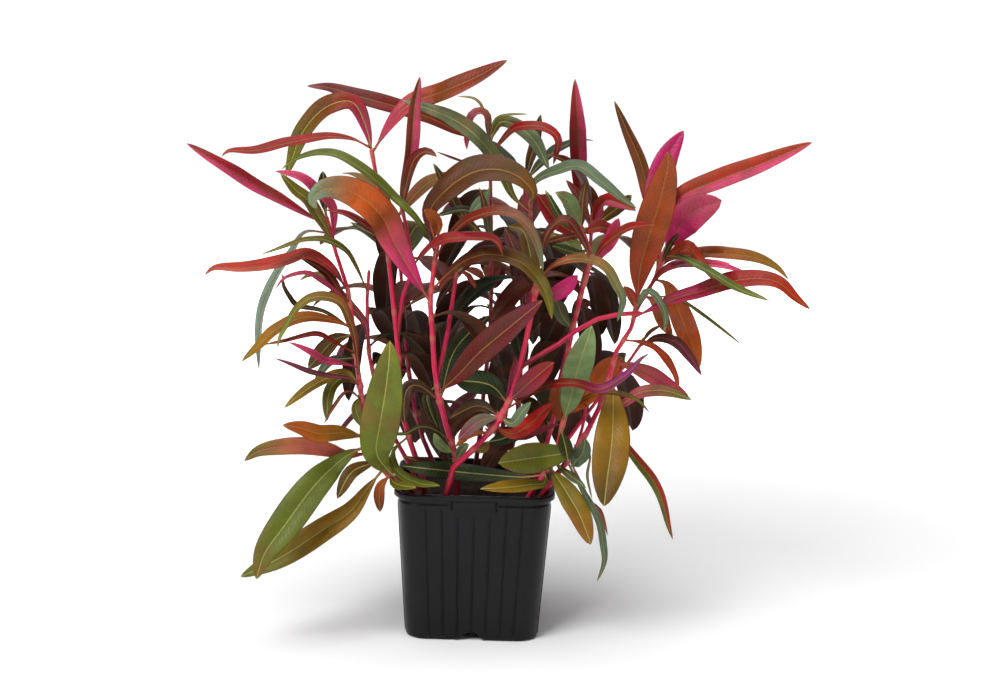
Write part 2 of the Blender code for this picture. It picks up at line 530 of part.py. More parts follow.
def even_line(line, shares):
    """Points of a line at the given shares of its length."""
    steps = np.linalg.norm(np.diff(line, axis=0), axis=1)
    reach = np.concatenate(((0.0,), np.cumsum(steps)))
    wanted = np.asarray(shares) * reach[-1]
    return np.stack([np.interp(wanted, reach, line[:, axis]) for axis in range(line.shape[1])], axis=1)


def stem_lines():
    """For every stem its line of points in millimetres and its radii."""
    lines = {}
    for name, parent, root, radii, depths, path in STEMS:
        path = np.asarray(path, float)
        shares = np.linspace(0.0, 1.0, len(path))
        depth = depths[0] + (depths[1] - depths[0]) * shares
        points = place(path, depth)
        if parent:
            trunk = lines[parent][0]
            nearest = np.argmin(np.linalg.norm(seen(trunk)[0] - path[0], axis=1))
            points[0] = trunk[nearest]
        else:
            below = np.array(((root[0], root[1], SOIL_TOP - ROOT_DEPTH), (root[0], root[1], SOIL_CROWN)))
            points = np.vstack((below, points))
        corners = smooth_line(points, STEM_CORNERS if not parent else SHOOT_CORNERS)
        line = even_line(corners, np.linspace(0.0, 1.0, STEM_STEPS * (len(corners) - 1) + 1))
        lines[name] = (line, radii[0] + (radii[1] - radii[0]) * np.linspace(0.0, 1.0, len(line)))
    return lines


class Leaf:
    """One leaf: where it is seen, how deep it lies and how its blade is turned."""

    def rings(self):
        """Where the sections of the faceted blade lie: closer together on a blade that bends sharply."""
        spans = np.diff(self.pixels, axis=0)
        runs = spans / np.maximum(np.linalg.norm(spans, axis=1), 1e-6)[:, None]
        bend = np.sum(np.arccos(np.clip(np.sum(runs[1:] * runs[:-1], axis=1), -1.0, 1.0)))
        if self.own or (bend > SHARP_BEND and not self.plain):
            return np.array(BIG_LEAF_RINGS)
        return np.array(SHORT_LEAF_RINGS if self.plain or self.length < SHORT_LEAF else SMALL_LEAF_RINGS)

    def __init__(self, own, stem, width, turn, fold, middle, tip, path, lines, nearest):
        self.own = own
        self.stem = stem
        self.turn = math.radians(turn)
        self.fold = math.radians(fold)
        shrink = math.cos(self.turn) * math.cos(self.fold)
        self.half = 0.5 * width / PIXELS_PER_MM / shrink
        self.natural = False
        self.plain = False
        trunk = lines[stem][0]
        trunk_seen = seen(trunk)[0]
        path = np.vstack((trunk_seen[nearest], np.asarray(path[1:], float)))
        flat = smooth_line(path, 41)
        length = np.sum(np.linalg.norm(np.diff(flat, axis=0), axis=1))
        self.count = max(7, int(length / 4.0) + 1)
        self.pixels = even_line(flat, np.linspace(0.0, 1.0, self.count))
        base = trunk[nearest][1]
        middle = base + (middle - base) * FAN_MIDDLE
        tip = base + (tip - base) * FAN_TIP
        shares = np.linspace(0.0, 1.0, self.count)
        bend = 4.0 * middle - 2.0 * (base + tip)
        self.depths = base + shares * (tip - base) + bend * shares * (1.0 - shares)
        self.length = length / PIXELS_PER_MM


class PairLeaf(Leaf):
    """A leaf of the hidden side, grown from its stem by direction, rise and droop."""

    def __init__(self, stem, share, compass, length, width, rise, droop, lines):
        self.own = ""
        self.stem = stem
        self.turn = 0.0
        self.fold = math.radians(10.0)
        self.half = 0.5 * width
        self.natural = True
        self.plain = False
        trunk = lines[stem][0]
        base = trunk[int(round(share * (len(trunk) - 1)))]
        aim = math.radians(compass)
        out = np.array((math.cos(aim), math.sin(aim), 0.0))
        shares = np.linspace(0.0, 1.0, 25)[:, None]
        lift = (rise + EXTRA_RISE) * shares - (droop + EXTRA_DROOP) * shares ** 2
        arc = length * (out * shares * PAIR_REACH + np.array((0.0, 0.0, 1.0)) * lift)
        self.count = max(7, int(length / 2.5) + 1)
        points = even_line(base + arc, np.linspace(0.0, 1.0, self.count))
        self.pixels, self.depths = seen(points)
        self.length = length


def attachments(lines):
    """Where each leaf joins its stem: the nearest spot, moved down where a leaf of its own needs room."""
    spots = {}
    for stem, (line, radii) in lines.items():
        step = np.linalg.norm(line[1] - line[0])
        room = int(math.ceil(LEAF_SPACING / step))
        shown = seen(line)[0]
        rows = [index for index, row in enumerate(LEAVES) if row[1] == stem]
        wish = {}
        for index in rows:
            start = np.asarray(LEAVES[index][7][0], float)
            wish[index] = int(np.argmin(np.linalg.norm(shown - start, axis=1)))
        taken = []
        for index in sorted(rows, key=lambda row: -wish[row]):
            spot = wish[index]
            own = bool(LEAVES[index][0])
            moved = True
            while moved:
                moved = False
                for other, other_own in taken:
                    if abs(other - spot) < room and (own or other_own):
                        spot = other - room
                        moved = True
            spot = max(spot, 1)
            taken.append((spot, own))
            spots[index] = spot
    return spots


def all_leaves(lines):
    spots = attachments(lines)
    leaves = [Leaf(*row, lines, spots[index]) for index, row in enumerate(LEAVES)]
    for stem, share, compass, length, width, rise, droop in PAIRS:
        leaves.append(PairLeaf(stem, share, compass, length, width, rise, droop, lines))
        leaves.append(PairLeaf(stem, share, 180.0 - compass + (PAIR_SKEW if compass > 60 else 0.0),
                               length * PAIR_SMALLER, width, rise, droop, lines))
    return leaves


def blade_profile(shares):
    """Half width of a blade as a share of its greatest, from base to tip."""
    shares = np.clip((np.asarray(shares) - BLADE_START) / (1.0 - BLADE_START), 0.0, 1.0)
    widest = BLADE_BASE_POWER / (BLADE_BASE_POWER + BLADE_TIP_POWER)
    most = widest ** BLADE_BASE_POWER * (1.0 - widest) ** BLADE_TIP_POWER
    return shares ** BLADE_BASE_POWER * (1.0 - shares) ** BLADE_TIP_POWER / most


def settle(leaves, lines):
    """Shift depths so that leaves crossing in the view pass clear of each other and of the stems."""
    spots = []
    depth = []
    wide = []
    deep = []
    owner = []
    free = []
    stem_of = []
    names = list(lines)
    for index, leaf in enumerate(leaves):
        shares = np.linspace(0.0, 1.0, leaf.count)
        half = np.maximum(leaf.half * blade_profile(shares), PETIOLE_HALF_WIDTH)
        turned = abs(math.sin(leaf.turn)) if not leaf.natural else NATURAL_DEPTH
        level = abs(math.cos(leaf.turn)) if not leaf.natural else NATURAL_WIDTH
        spots.append(leaf.pixels)
        depth.append(leaf.depths)
        wide.append((half * level + EDGE_ROOM) * PIXELS_PER_MM)
        deep.append(half * (turned + FOLD_ROOM) + LEAST_ROOM)
        owner.append(np.full(leaf.count, index))
        steps = np.linalg.norm(leaf.pixels - leaf.pixels[0], axis=1)
        free.append(np.clip(steps / FREE_AFTER, 0.0, 1.0))
        stem_of.append(np.full(leaf.count, names.index(leaf.stem)))
    for order, name in enumerate(names):
        line, radii = lines[name]
        pixels, depths = seen(line)
        spots.append(pixels)
        depth.append(depths)
        wide.append((radii + EDGE_ROOM) * PIXELS_PER_MM)
        deep.append(radii + EDGE_ROOM)
        owner.append(np.full(len(line), len(leaves) + order))
        free.append(np.zeros(len(line)))
        stem_of.append(np.full(len(line), order))
    spots, depth, wide, deep = map(np.concatenate, (spots, depth, wide, deep))
    owner, free, stem_of = map(np.concatenate, (owner, free, stem_of))
    first = []
    second = []
    starts = np.concatenate(((0,), np.cumsum([leaf.count for leaf in leaves])))
    for index, leaf in enumerate(leaves):
        mine = np.arange(starts[index], starts[index + 1])
        rest = np.arange(starts[index + 1], len(depth))
        apart = np.linalg.norm(spots[mine][:, None] - spots[rest][None], axis=2)
        close = apart < wide[mine][:, None] + wide[rest][None]
        kin = stem_of[mine][:, None] == stem_of[rest][None]
        close &= ~(kin & (free[mine][:, None] < 0.5) & (free[rest][None] < 0.5))
        one, other = np.nonzero(close)
        first.append(mine[one])
        second.append(rest[other])
    first, second = np.concatenate(first), np.concatenate(second)
    pair = owner[first] * 1000 + owner[second]
    keys, where = np.unique(pair, return_inverse=True)
    lead = np.bincount(where, depth[second] - depth[first]) / np.bincount(where)
    sign = np.where(lead >= 0.0, 1.0, -1.0)[where]
    need = deep[first] + deep[second]
    reach = np.zeros(len(depth))
    reach[1:] = np.linalg.norm(np.diff(spots, axis=0), axis=1) / PIXELS_PER_MM
    longest = max(leaf.count for leaf in leaves)
    for _ in range(SETTLE_ROUNDS):
        short = need - sign * (depth[second] - depth[first])
        short = np.where(short > 0.0, short, 0.0)
        share = free[first] + free[second]
        share = np.where(share > 0.0, share, 1.0)
        ahead = np.zeros(len(depth))
        behind = np.zeros(len(depth))
        move_first = -sign * short * free[first] / share
        move_second = sign * short * free[second] / share
        for target, move in ((first, move_first), (second, move_second)):
            np.maximum.at(ahead, target, np.maximum(move, 0.0))
            np.minimum.at(behind, target, np.minimum(move, 0.0))
        change = SETTLE_SHARE * (ahead + behind)
        for index in range(len(leaves)):
            part = change[starts[index]:starts[index + 1]].copy()
            for _ in range(3):
                part[1:-1] = 0.25 * part[:-2] + 0.5 * part[1:-1] + 0.25 * part[2:]
                part[-1] = 0.5 * part[-1] + 0.5 * part[-2]
                part[0] = 0.0
            change[starts[index]:starts[index + 1]] = part
        depth = depth + change
        for step in range(1, longest):
            late = starts[:-1] + step
            late = late[late < starts[1:]]
            limit = STEEPEST * reach[late]
            depth[late] = np.clip(depth[late], depth[late - 1] - limit, depth[late - 1] + limit)
    for index, leaf in enumerate(leaves):
        leaf.depths = depth[starts[index]:starts[index + 1]]


def blade_spots(leaf):
    """Points spread over a blade, about two millimetres apart."""
    points, upper, sides, half = leaf_frames(leaf, np.linspace(0.0, 1.0, 25))
    spots = []
    for share in (-1.0, -0.66, -0.33, 0.0, 0.33, 0.66, 1.0):
        reach = half * math.cos(leaf.fold) * share
        lift = half * math.sin(leaf.fold) * abs(share)
        spots.append(points + sides * reach[:, None] + upper * lift[:, None])
    return np.concatenate(spots)


def fill_inside(leaves, lines):
    """Add short leaves inside the bush, each where it stays clear of all that is already there."""
    rng = np.random.default_rng(FILL_SEED)
    taken = [blade_spots(leaf) for leaf in leaves]
    owners = [leaf.stem for leaf, spots in zip(leaves, taken) for _ in spots]
    for name, (line, radii) in lines.items():
        taken.append(line)
        owners += [name + " itself"] * len(line)
    tree = spot_tree(taken)
    for stem, low, high, number in FILLS:
        grown = 0
        for _ in range(FILL_TRIES):
            if grown == number:
                break
            share, compass = rng.uniform(low, high), rng.uniform(-180.0, 180.0)
            length, width = rng.uniform(*FILL_LENGTHS), rng.uniform(*FILL_WIDTHS)
            rise, droop = rng.uniform(*FILL_RISES), rng.uniform(*FILL_DROOPS)
            leaf = PairLeaf(stem, share, compass, length, width, rise, droop, lines)
            leaf.plain = True
            upper = leaf_frames(leaf, np.array((0.35, 0.55, 0.75)))[1]
            nearest = min(leaf.depths[0] - FILL_FORWARD, FILL_NEAREST)
            if abs(np.mean(upper @ SIGHT)) < FILL_SHOWN or np.min(leaf.depths) < nearest:
                continue
            off = (leaf.pixels - FILL_MIDDLE) / FILL_REACH
            spots = blade_spots(leaf)
            if np.max(np.linalg.norm(off, axis=1)) > 1.0 or np.min(spots[:, 2]) < SOIL_CROWN + FILL_ABOVE_SOIL:
                continue
            if is_clear(tree, owners, spots, stem):
                leaves.append(leaf)
                taken.append(spots)
                owners += [stem] * len(spots)
                tree = spot_tree(taken)
                grown += 1


def spot_tree(taken):
    points = np.concatenate(taken)
    tree = KDTree(len(points))
    for index, point in enumerate(points):
        tree.insert(point, index)
    tree.balance()
    return tree


def is_clear(tree, owners, spots, stem):
    """Whether a blade keeps its room from all other blades and stems, apart from its own stem at its base."""
    for spot in spots:
        near_base = np.linalg.norm(spot - spots[0])
        for _, index, apart in tree.find_range(spot, FILL_ROOM):
            kin = owners[index] == stem and near_base < KIN_REACH
            if not kin and not (owners[index] == stem + " itself" and near_base < OWN_STEM_REACH):
                return False
    return True


def leaf_frames(leaf, shares):
    """Middle points, upward normals and side directions of a blade, with its half widths."""
    line = place(leaf.pixels, leaf.depths)
    points = even_line(line, shares)
    dense = even_line(line, np.linspace(0.0, 1.0, 81))
    spans = np.gradient(dense, axis=0)
    runs = np.stack([np.interp(shares, np.linspace(0.0, 1.0, 81), spans[:, axis]) for axis in range(3)], axis=1)
    runs /= np.linalg.norm(runs, axis=1)[:, None]
    upper = []
    sides = []
    way = growth_sign(dense, spans)
    for point, run in zip(points, runs):
        if leaf.natural:
            normal = growth_side(point, run)
            normal = normal - run * (normal @ run)
        else:
            facing = -SIGHT + run * (SIGHT @ run)
            facing /= np.linalg.norm(facing)
            normal = math.cos(leaf.turn) * facing + math.sin(leaf.turn) * way * np.cross(run, facing)
        normal = normal / np.linalg.norm(normal)
        upper.append(normal)
        sides.append(np.cross(normal, run))
    half = leaf.half * blade_profile(shares)
    return points, np.array(upper), np.array(sides), half


def growth_side(point, run):
    """The side a blade's upper face grows toward: up, and outward where the blade hangs."""
    out = np.array((point[0], point[1] - PLANT_MIDDLE, 0.0))
    out /= max(np.linalg.norm(out), 1.0)
    return np.array((0.0, 0.0, 1.0)) - HANG_TURN * run[2] * out


def growth_sign(line, spans):
    """Which way round the blade turns in the view so that its upper face looks the way it grows."""
    total = 0.0
    for point, span in zip(line[::4], spans[::4]):
        run = span / np.linalg.norm(span)
        total += growth_side(point, run) @ np.cross(run, -SIGHT)
    return 1.0 if total >= 0.0 else -1.0


def leaf_mesh(name, leaf, extra=0.0):
    """A folded blade as a loft of four cornered sections that shrink to the tip."""
    shares = leaf.rings()
    points, upper, sides, half = leaf_frames(leaf, shares)
    half = np.maximum(half, PETIOLE_HALF_WIDTH)
    half[-1] = TIP_HALF_WIDTH
    half = half + extra
    blend = np.clip(shares / PETIOLE_SHARE, 0.0, 1.0)
    thick = PETIOLE_HALF_THICKNESS + (BLADE_HALF_THICKNESS - PETIOLE_HALF_THICKNESS) * blend
    thick[-1] = 0.5 * BLADE_HALF_THICKNESS
    thick = thick + extra
    mesh = bmesh.new()
    rings = []
    for index in range(len(shares)):
        lift = math.sin(leaf.fold) * max(half[index] - PETIOLE_HALF_WIDTH, 0.0)
        reach = math.cos(leaf.fold) * half[index]
        left = points[index] - sides[index] * reach + upper[index] * lift
        right = points[index] + sides[index] * reach + upper[index] * lift
        top = points[index] + upper[index] * thick[index]
        keel = points[index] - upper[index] * thick[index]
        rings.append([mesh.verts.new(Vector(spot * MM)) for spot in (left, top, right, keel)])
    for lower, higher in zip(rings[:-1], rings[1:]):
        for corner in range(4):
            other = (corner + 1) % 4
            mesh.faces.new((lower[corner], lower[other], higher[other]))
            mesh.faces.new((lower[corner], higher[other], higher[corner]))
    for ring, flip in ((rings[0], True), (rings[-1], False)):
        left, top, right, keel = ring
        for face in ((left, top, keel), (top, right, keel)):
            mesh.faces.new(face[::-1] if flip else face)
    bmesh.ops.recalc_face_normals(mesh, faces=mesh.faces)
    return finish_mesh(name, mesh)


def finish_mesh(name, mesh):
    data = bpy.data.meshes.new(name)
    mesh.to_mesh(data)
    mesh.free()
    return data


def tube_mesh(name, line, radii, extra=0.0):
    """A round stem from a bevelled curve with filled caps, as a closed mesh."""
    points = line[::STEM_STEPS].copy()
    sizes = radii[::STEM_STEPS] + extra
    for end, near in ((0, 1), (-1, -2)):
        away = points[end] - points[near]
        points[end] += away * extra / np.linalg.norm(away)
    curve = bpy.data.curves.new(name + "_line", "CURVE")
    curve.dimensions = "3D"
    curve.bevel_depth = MM
    curve.bevel_resolution = STEM_SIDES_RESOLUTION
    curve.use_fill_caps = True
    curve.resolution_u = 1
    spline = curve.splines.new("POLY")
    spline.points.add(len(points) - 1)
    for spot, point, size in zip(spline.points, points, sizes):
        spot.co = (*(point * MM), 1.0)
        spot.radius = size
    holder = bpy.data.objects.new(name + "_line", curve)
    bpy.context.scene.collection.objects.link(holder)
    ready = holder.evaluated_get(bpy.context.evaluated_depsgraph_get())
    mesh = bmesh.new()
    mesh.from_mesh(bpy.data.meshes.new_from_object(ready))
    bmesh.ops.remove_doubles(mesh, verts=mesh.verts, dist=1e-7)
    bmesh.ops.triangulate(mesh, faces=mesh.faces)
    bmesh.ops.recalc_face_normals(mesh, faces=mesh.faces)
    bpy.data.objects.remove(holder)
    return finish_mesh(name, mesh)


def show(name, data, material):
    obj = bpy.data.objects.new(name, data)
    bpy.context.scene.collection.objects.link(obj)
    obj.data.materials.clear()
    obj.data.materials.append(material)
    return obj


def cutter(name, data, shelf):
    obj = bpy.data.objects.new(name, data)
    shelf.objects.link(obj)
    obj.hide_render = True
    obj.display_type = "WIRE"
    return obj


def combine(target, other, operation):
    step = target.modifiers.new(other.name, "BOOLEAN")
    step.operation = operation
    step.solver = "EXACT"
    step.object = other
    step.use_self = True


def one_body(obj):
    """Make the Booleans permanent and drop any crumb they leave beside the body."""
    ready = obj.evaluated_get(bpy.context.evaluated_depsgraph_get())
    data = bpy.data.meshes.new_from_object(ready)
    mesh = bmesh.new()
    mesh.from_mesh(data)
    left = set(mesh.faces)
    groups = []
    while left:
        group = []
        edge_of = [left.pop()]
        while edge_of:
            face = edge_of.pop()
            group.append(face)
            for edge in face.edges:
                for near in edge.link_faces if len(edge.link_faces) == 2 else ():
                    if near in left:
                        left.remove(near)
                        edge_of.append(near)
        groups.append(group)
    groups.sort(key=lambda group: -sum(face.calc_area() for face in group))
    crumbs = [face for group in groups[1:] for face in group]
    bmesh.ops.delete(mesh, geom=crumbs, context="FACES")
    mesh.to_mesh(data)
    mesh.free()
    obj.modifiers.clear()
    obj.data = data


def rounded_square(width, corner, height):
    """Corner points of a square with rounded corners, in millimetres."""
    points = []
    centre = 0.5 * width - corner
    for quarter, (along, across) in enumerate(((1, 1), (-1, 1), (-1, -1), (1, -1))):
        for step in range(CORNER_STEPS + 1):
            angle = 0.5 * math.pi * (quarter + step / CORNER_STEPS)
            points.append((along * centre + corner * math.cos(angle),
                           across * centre + corner * math.sin(angle), height))
    return points


def stacked_mesh(name, levels):
    """A closed solid lofted through rounded squares, capped at both ends."""
    mesh = bmesh.new()
    rings = [[mesh.verts.new(Vector(point) * MM) for point in level] for level in levels]
    count = len(rings[0])
    for lower, higher in zip(rings[:-1], rings[1:]):
        for index in range(count):
            other = (index + 1) % count
            mesh.faces.new((lower[index], lower[other], higher[other], higher[index]))
    mesh.faces.new(rings[0][::-1])
    mesh.faces.new(rings[-1])
    bmesh.ops.triangulate(mesh, faces=mesh.faces)
    bmesh.ops.recalc_face_normals(mesh, faces=mesh.faces)
    return finish_mesh(name, mesh)


def prism_mesh(name, outline, start, stop, turn):
    """A straight bar with the given outline across X and Z, running along Y, turned about Z."""
    mesh = bmesh.new()
    ends = []
    for along in (start, stop):
        ring = []
        for across, height in outline:
            spot = (across * math.cos(turn) - along * math.sin(turn),
                    across * math.sin(turn) + along * math.cos(turn), height)
            ring.append(mesh.verts.new(Vector(spot) * MM))
        ends.append(ring)
    count = len(outline)
    for index in range(count):
        other = (index + 1) % count
        mesh.faces.new((ends[0][index], ends[0][other], ends[1][other], ends[1][index]))
    mesh.faces.new(ends[0][::-1])
    mesh.faces.new(ends[1])
    bmesh.ops.triangulate(mesh, faces=mesh.faces)
    bmesh.ops.recalc_face_normals(mesh, faces=mesh.faces)
    return finish_mesh(name, mesh)


def body_width(height):
    return BODY_BASE_WIDTH + (BODY_TOP_WIDTH - BODY_BASE_WIDTH) * height / (POT_HEIGHT - RIM_DROP)


def body_corner(height):
    return BODY_BASE_CORNER + (BODY_TOP_CORNER - BODY_BASE_CORNER) * height / (POT_HEIGHT - RIM_DROP)


def notch_outline(grow, low):
    """The notch in the foot, or with a grown outline the bump that covers it inside."""
    slope = 0.5 * (NOTCH_BASE_WIDTH - NOTCH_TOP_WIDTH) / NOTCH_HEIGHT
    spread = grow * math.hypot(1.0, slope)
    top = NOTCH_HEIGHT + grow
    outline = []
    for side, height in ((-1, low), (1, low), (1, top), (-1, top)):
        outline.append((side * (0.5 * NOTCH_BASE_WIDTH - slope * height + spread), height))
    return outline


def tab_mesh(name, turn):
    """The smooth pad under the rim, which fades into the wall."""
    top = POT_HEIGHT - 0.8
    low = top - TAB_DROP
    outline = ((-0.5 * RIM_WIDTH + 0.05, top), (-0.5 * RIM_WIDTH + 0.05, POT_HEIGHT - RIM_DROP - 0.6),
               (-0.5 * body_width(low) + 0.15, low), (-0.5 * body_width(low) + 0.9, low),
               (-0.5 * body_width(top) + 0.9, top))
    mesh = bmesh.new()
    ends = []
    for across in (-0.5 * TAB_WIDTH, 0.5 * TAB_WIDTH):
        ring = []
        for along, height in outline:
            spot = (across * math.cos(turn) - along * math.sin(turn),
                    across * math.sin(turn) + along * math.cos(turn), height)
            ring.append(mesh.verts.new(Vector(spot) * MM))
        ends.append(ring)
    count = len(outline)
    for index in range(count):
        other = (index + 1) % count
        mesh.faces.new((ends[0][index], ends[0][other], ends[1][other], ends[1][index]))
    mesh.faces.new(ends[0][::-1])
    mesh.faces.new(ends[1])
    bmesh.ops.triangulate(mesh, faces=mesh.faces)
    bmesh.ops.recalc_face_normals(mesh, faces=mesh.faces)
    return finish_mesh(name, mesh)


def build_pot(material, shelf):
    rim_low = POT_HEIGHT - RIM_DROP
    inner_top = rounded_square(BODY_TOP_WIDTH - 2 * WALL, BODY_TOP_CORNER - WALL, POT_HEIGHT)
    inner_low = rounded_square(body_width(FLOOR) - 2 * WALL, body_corner(FLOOR) - WALL, FLOOR)
    levels = (rounded_square(BODY_BASE_WIDTH - 2.0, BODY_BASE_CORNER - 1.0, 0.0),
              rounded_square(body_width(1.0), body_corner(1.0), 1.0),
              rounded_square(BODY_TOP_WIDTH, BODY_TOP_CORNER, rim_low),
              rounded_square(RIM_WIDTH, RIM_CORNER, rim_low + 0.3),
              rounded_square(RIM_WIDTH, RIM_CORNER, POT_HEIGHT - 0.5),
              rounded_square(RIM_WIDTH - 1.0, RIM_CORNER - 0.5, POT_HEIGHT),
              inner_top, inner_low)
    pot = show("pot", stacked_mesh("pot", levels), material)
    for side in range(4):
        turn = 0.5 * math.pi * side
        wall = -0.5 * BODY_BASE_WIDTH
        bump = prism_mesh("bump", notch_outline(NOTCH_SKIN, 0.2), wall + 0.7, wall + NOTCH_DEPTH + NOTCH_SKIN, turn)
        combine(pot, cutter("pot_bump_%d" % side, bump, shelf), "UNION")
        combine(pot, cutter("pot_tab_%d" % side, tab_mesh("tab", turn), shelf), "UNION")
        notch = prism_mesh("notch", notch_outline(0.0, -1.0), wall - 4.0, wall + NOTCH_DEPTH, turn)
        combine(pot, cutter("pot_notch_%d" % side, notch, shelf), "DIFFERENCE")
    for across in (-1, 1):
        for along in (-1, 1):
            mesh = bmesh.new()
            bmesh.ops.create_cone(mesh, cap_ends=True, segments=DRAIN_SIDES, radius1=DRAIN_RADIUS * MM,
                                  radius2=DRAIN_RADIUS * MM, depth=8.0 * MM)
            bmesh.ops.translate(mesh, verts=mesh.verts,
                                vec=Vector((across * DRAIN_SPOT, along * DRAIN_SPOT, 0.0)) * MM)
            name = "pot_drain_%d_%d" % (across + 1, along + 1)
            combine(pot, cutter(name, finish_mesh("drain", mesh), shelf), "DIFFERENCE")
    return pot


def build_soil(material, shelf, lines):
    low = FLOOR + SOIL_GAP
    levels = []
    for height, inset in ((low, 0.0), (SOIL_TOP, 0.0), (SOIL_CROWN, SOIL_CROWN_INSET)):
        width = body_width(min(height, SOIL_TOP)) - 2 * (WALL + SOIL_GAP) - SOIL_PLAY - inset
        corner = body_corner(height) - WALL - SOIL_GAP - 0.1 * inset
        levels.append(rounded_square(width, corner, height))
    soil = show("soil", stacked_mesh("soil", levels), material)
    for side in range(4):
        turn = 0.5 * math.pi * side
        wall = -0.5 * BODY_BASE_WIDTH
        grown = NOTCH_SKIN + SOIL_GAP + 0.1
        bump = prism_mesh("hollow", notch_outline(grown, -1.0), wall - 2.0, wall + NOTCH_DEPTH + grown, turn)
        combine(soil, cutter("soil_hollow_%d" % side, bump, shelf), "DIFFERENCE")
    for name, parent, root, radii, depths, path in STEMS:
        if parent:
            continue
        line, sizes = lines[name]
        foot = line[:HOLE_CORNERS * STEM_STEPS + 1]
        grown = tube_mesh(name + "_hole", foot, sizes[:len(foot)], GAP)
        combine(soil, cutter(name + "_hole", grown, shelf), "DIFFERENCE")
    return soil


def build_plant(material_stem, material_leaf, shelf, lines, leaves):
    fat = {}
    for name, parent, root, radii, depths, path in STEMS:
        line, sizes = lines[name]
        stem = show(name, tube_mesh(name, line, sizes), material_stem)
        fat[name] = cutter(name + "_room", tube_mesh(name + "_room", line, sizes, GAP), shelf)
        fused = [leaf for leaf in leaves if leaf.stem == name and not leaf.own]
        for order, leaf in enumerate(fused):
            blade = cutter("%s_blade_%d" % (name, order), leaf_mesh("blade", leaf), shelf)
            combine(stem, blade, "UNION")
        if parent:
            combine(stem, fat[parent], "DIFFERENCE")
        one_body(stem)
    for leaf in leaves:
        if leaf.own:
            blade = show(leaf.own, leaf_mesh(leaf.own, leaf), material_leaf)
            combine(blade, fat[leaf.stem], "DIFFERENCE")
            start = place(leaf.pixels[:1], leaf.depths[:1])[0]
            for order, other in enumerate(leaves):
                base = place(other.pixels[:1], other.depths[:1])[0]
                near = np.linalg.norm(base - start) < NEIGHBOUR_REACH
                if other.stem == leaf.stem and not other.own and near:
                    room = leaf_mesh("room", other, 1.3 * GAP)
                    combine(blade, cutter("%s_room_%d" % (leaf.own, order), room, shelf), "DIFFERENCE")
            one_body(blade)


def make_material(name, colour, roughness):
    material = bpy.data.materials.new(name)
    material.use_nodes = True
    shader = material.node_tree.nodes["Principled BSDF"]
    shader.inputs["Base Color"].default_value = (*colour, 1.0)
    shader.inputs["Roughness"].default_value = roughness
    return material


def main():
    for obj in list(bpy.data.objects):
        bpy.data.objects.remove(obj)
    shelf = bpy.data.collections.new("cutters")
    bpy.context.scene.collection.children.link(shelf)
    lines = stem_lines()
    leaves = all_leaves(lines)
    settle(leaves, lines)
    fill_inside(leaves, lines)
    build_pot(make_material("pot_plastic", (0.018, 0.018, 0.02), 0.45), shelf)
    build_soil(make_material("soil_dark", (0.03, 0.018, 0.01), 0.95), shelf, lines)
    build_plant(make_material("stem_red", (0.55, 0.03, 0.09), 0.45),
                make_material("leaf_rust", (0.3, 0.05, 0.02), 0.5), shelf, lines, leaves)


main()
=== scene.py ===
"""Looks of the potted red leaved water plant: fine leaves, stems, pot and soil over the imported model.

Stems and leaves are placed by the same values as in the part's source: where they are seen in the view
the plant was read from, as pixel positions in a frame 1000 wide and 700 high, each with a depth in
millimetres. Depth is zero at the middle of the pot and negative toward the viewer.
"""
import math

import bpy
import numpy as np
import bmesh
from mathutils import Matrix, Vector, noise
from mathutils.kdtree import KDTree


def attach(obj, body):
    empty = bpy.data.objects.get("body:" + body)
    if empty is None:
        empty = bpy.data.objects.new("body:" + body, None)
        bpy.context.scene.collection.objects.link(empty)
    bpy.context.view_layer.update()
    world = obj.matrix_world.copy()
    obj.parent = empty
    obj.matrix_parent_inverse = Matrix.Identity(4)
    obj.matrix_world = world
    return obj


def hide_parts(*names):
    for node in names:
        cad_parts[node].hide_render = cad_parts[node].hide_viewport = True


MM = 0.001

# The view the plant was read from
VIEW_POINT = (12.0, -1200.0, 393.0)
VIEW_PITCH = math.radians(11.0)
VIEW_ROLL = math.radians(1.57)
VIEW_FOCAL = 2160.0
VIEW_MIDDLE = (500.0, 350.0)
PIXELS_PER_MM = 1.766
FRAME_WIDTH = 1000.0
SENSOR_WIDTH = 36.0

# Pot
POT_HEIGHT = 85.5
RIM_WIDTH = 90.0
RIM_DROP = 3.2
RIM_CORNER = 14.5
BODY_TOP_WIDTH = 86.0
BODY_BASE_WIDTH = 74.4
BODY_TOP_CORNER = 13.0
BODY_BASE_CORNER = 12.0
WALL = 1.3
FLOOR = 1.5
CORNER_STEPS = 12
SIDE_STEPS = 61
NOTCH_BASE_WIDTH = 15.4
NOTCH_TOP_WIDTH = 5.0
NOTCH_HEIGHT = 4.7
NOTCH_DEPTH = 16.0
NOTCH_SKIN = 1.4
TAB_WIDTH = 25.0
TAB_DROP = 10.0
DRAIN_RADIUS = 3.5
DRAIN_SIDES = 32
DRAIN_SPOT = 22.0
RIB_COUNT = 7
RIB_SPACING = 9.1
RIB_WIDTH = 0.8
RIB_EDGES = np.array((-0.62, -0.42, -0.2, 0.2, 0.42, 0.62))
RIB_RELIEF = 0.55
GROOVE_DEPTH = 0.55
GROOVE_DROP = 3.4

# Soil
SOIL_TOP = 77.0
SOIL_CROWN = 78.6
SOIL_GAP = 0.3
SOIL_PLAY = 0.3
ROOT_DEPTH = 12.0
SOIL_GRID = 150
SOIL_ROUGHNESS = 0.9

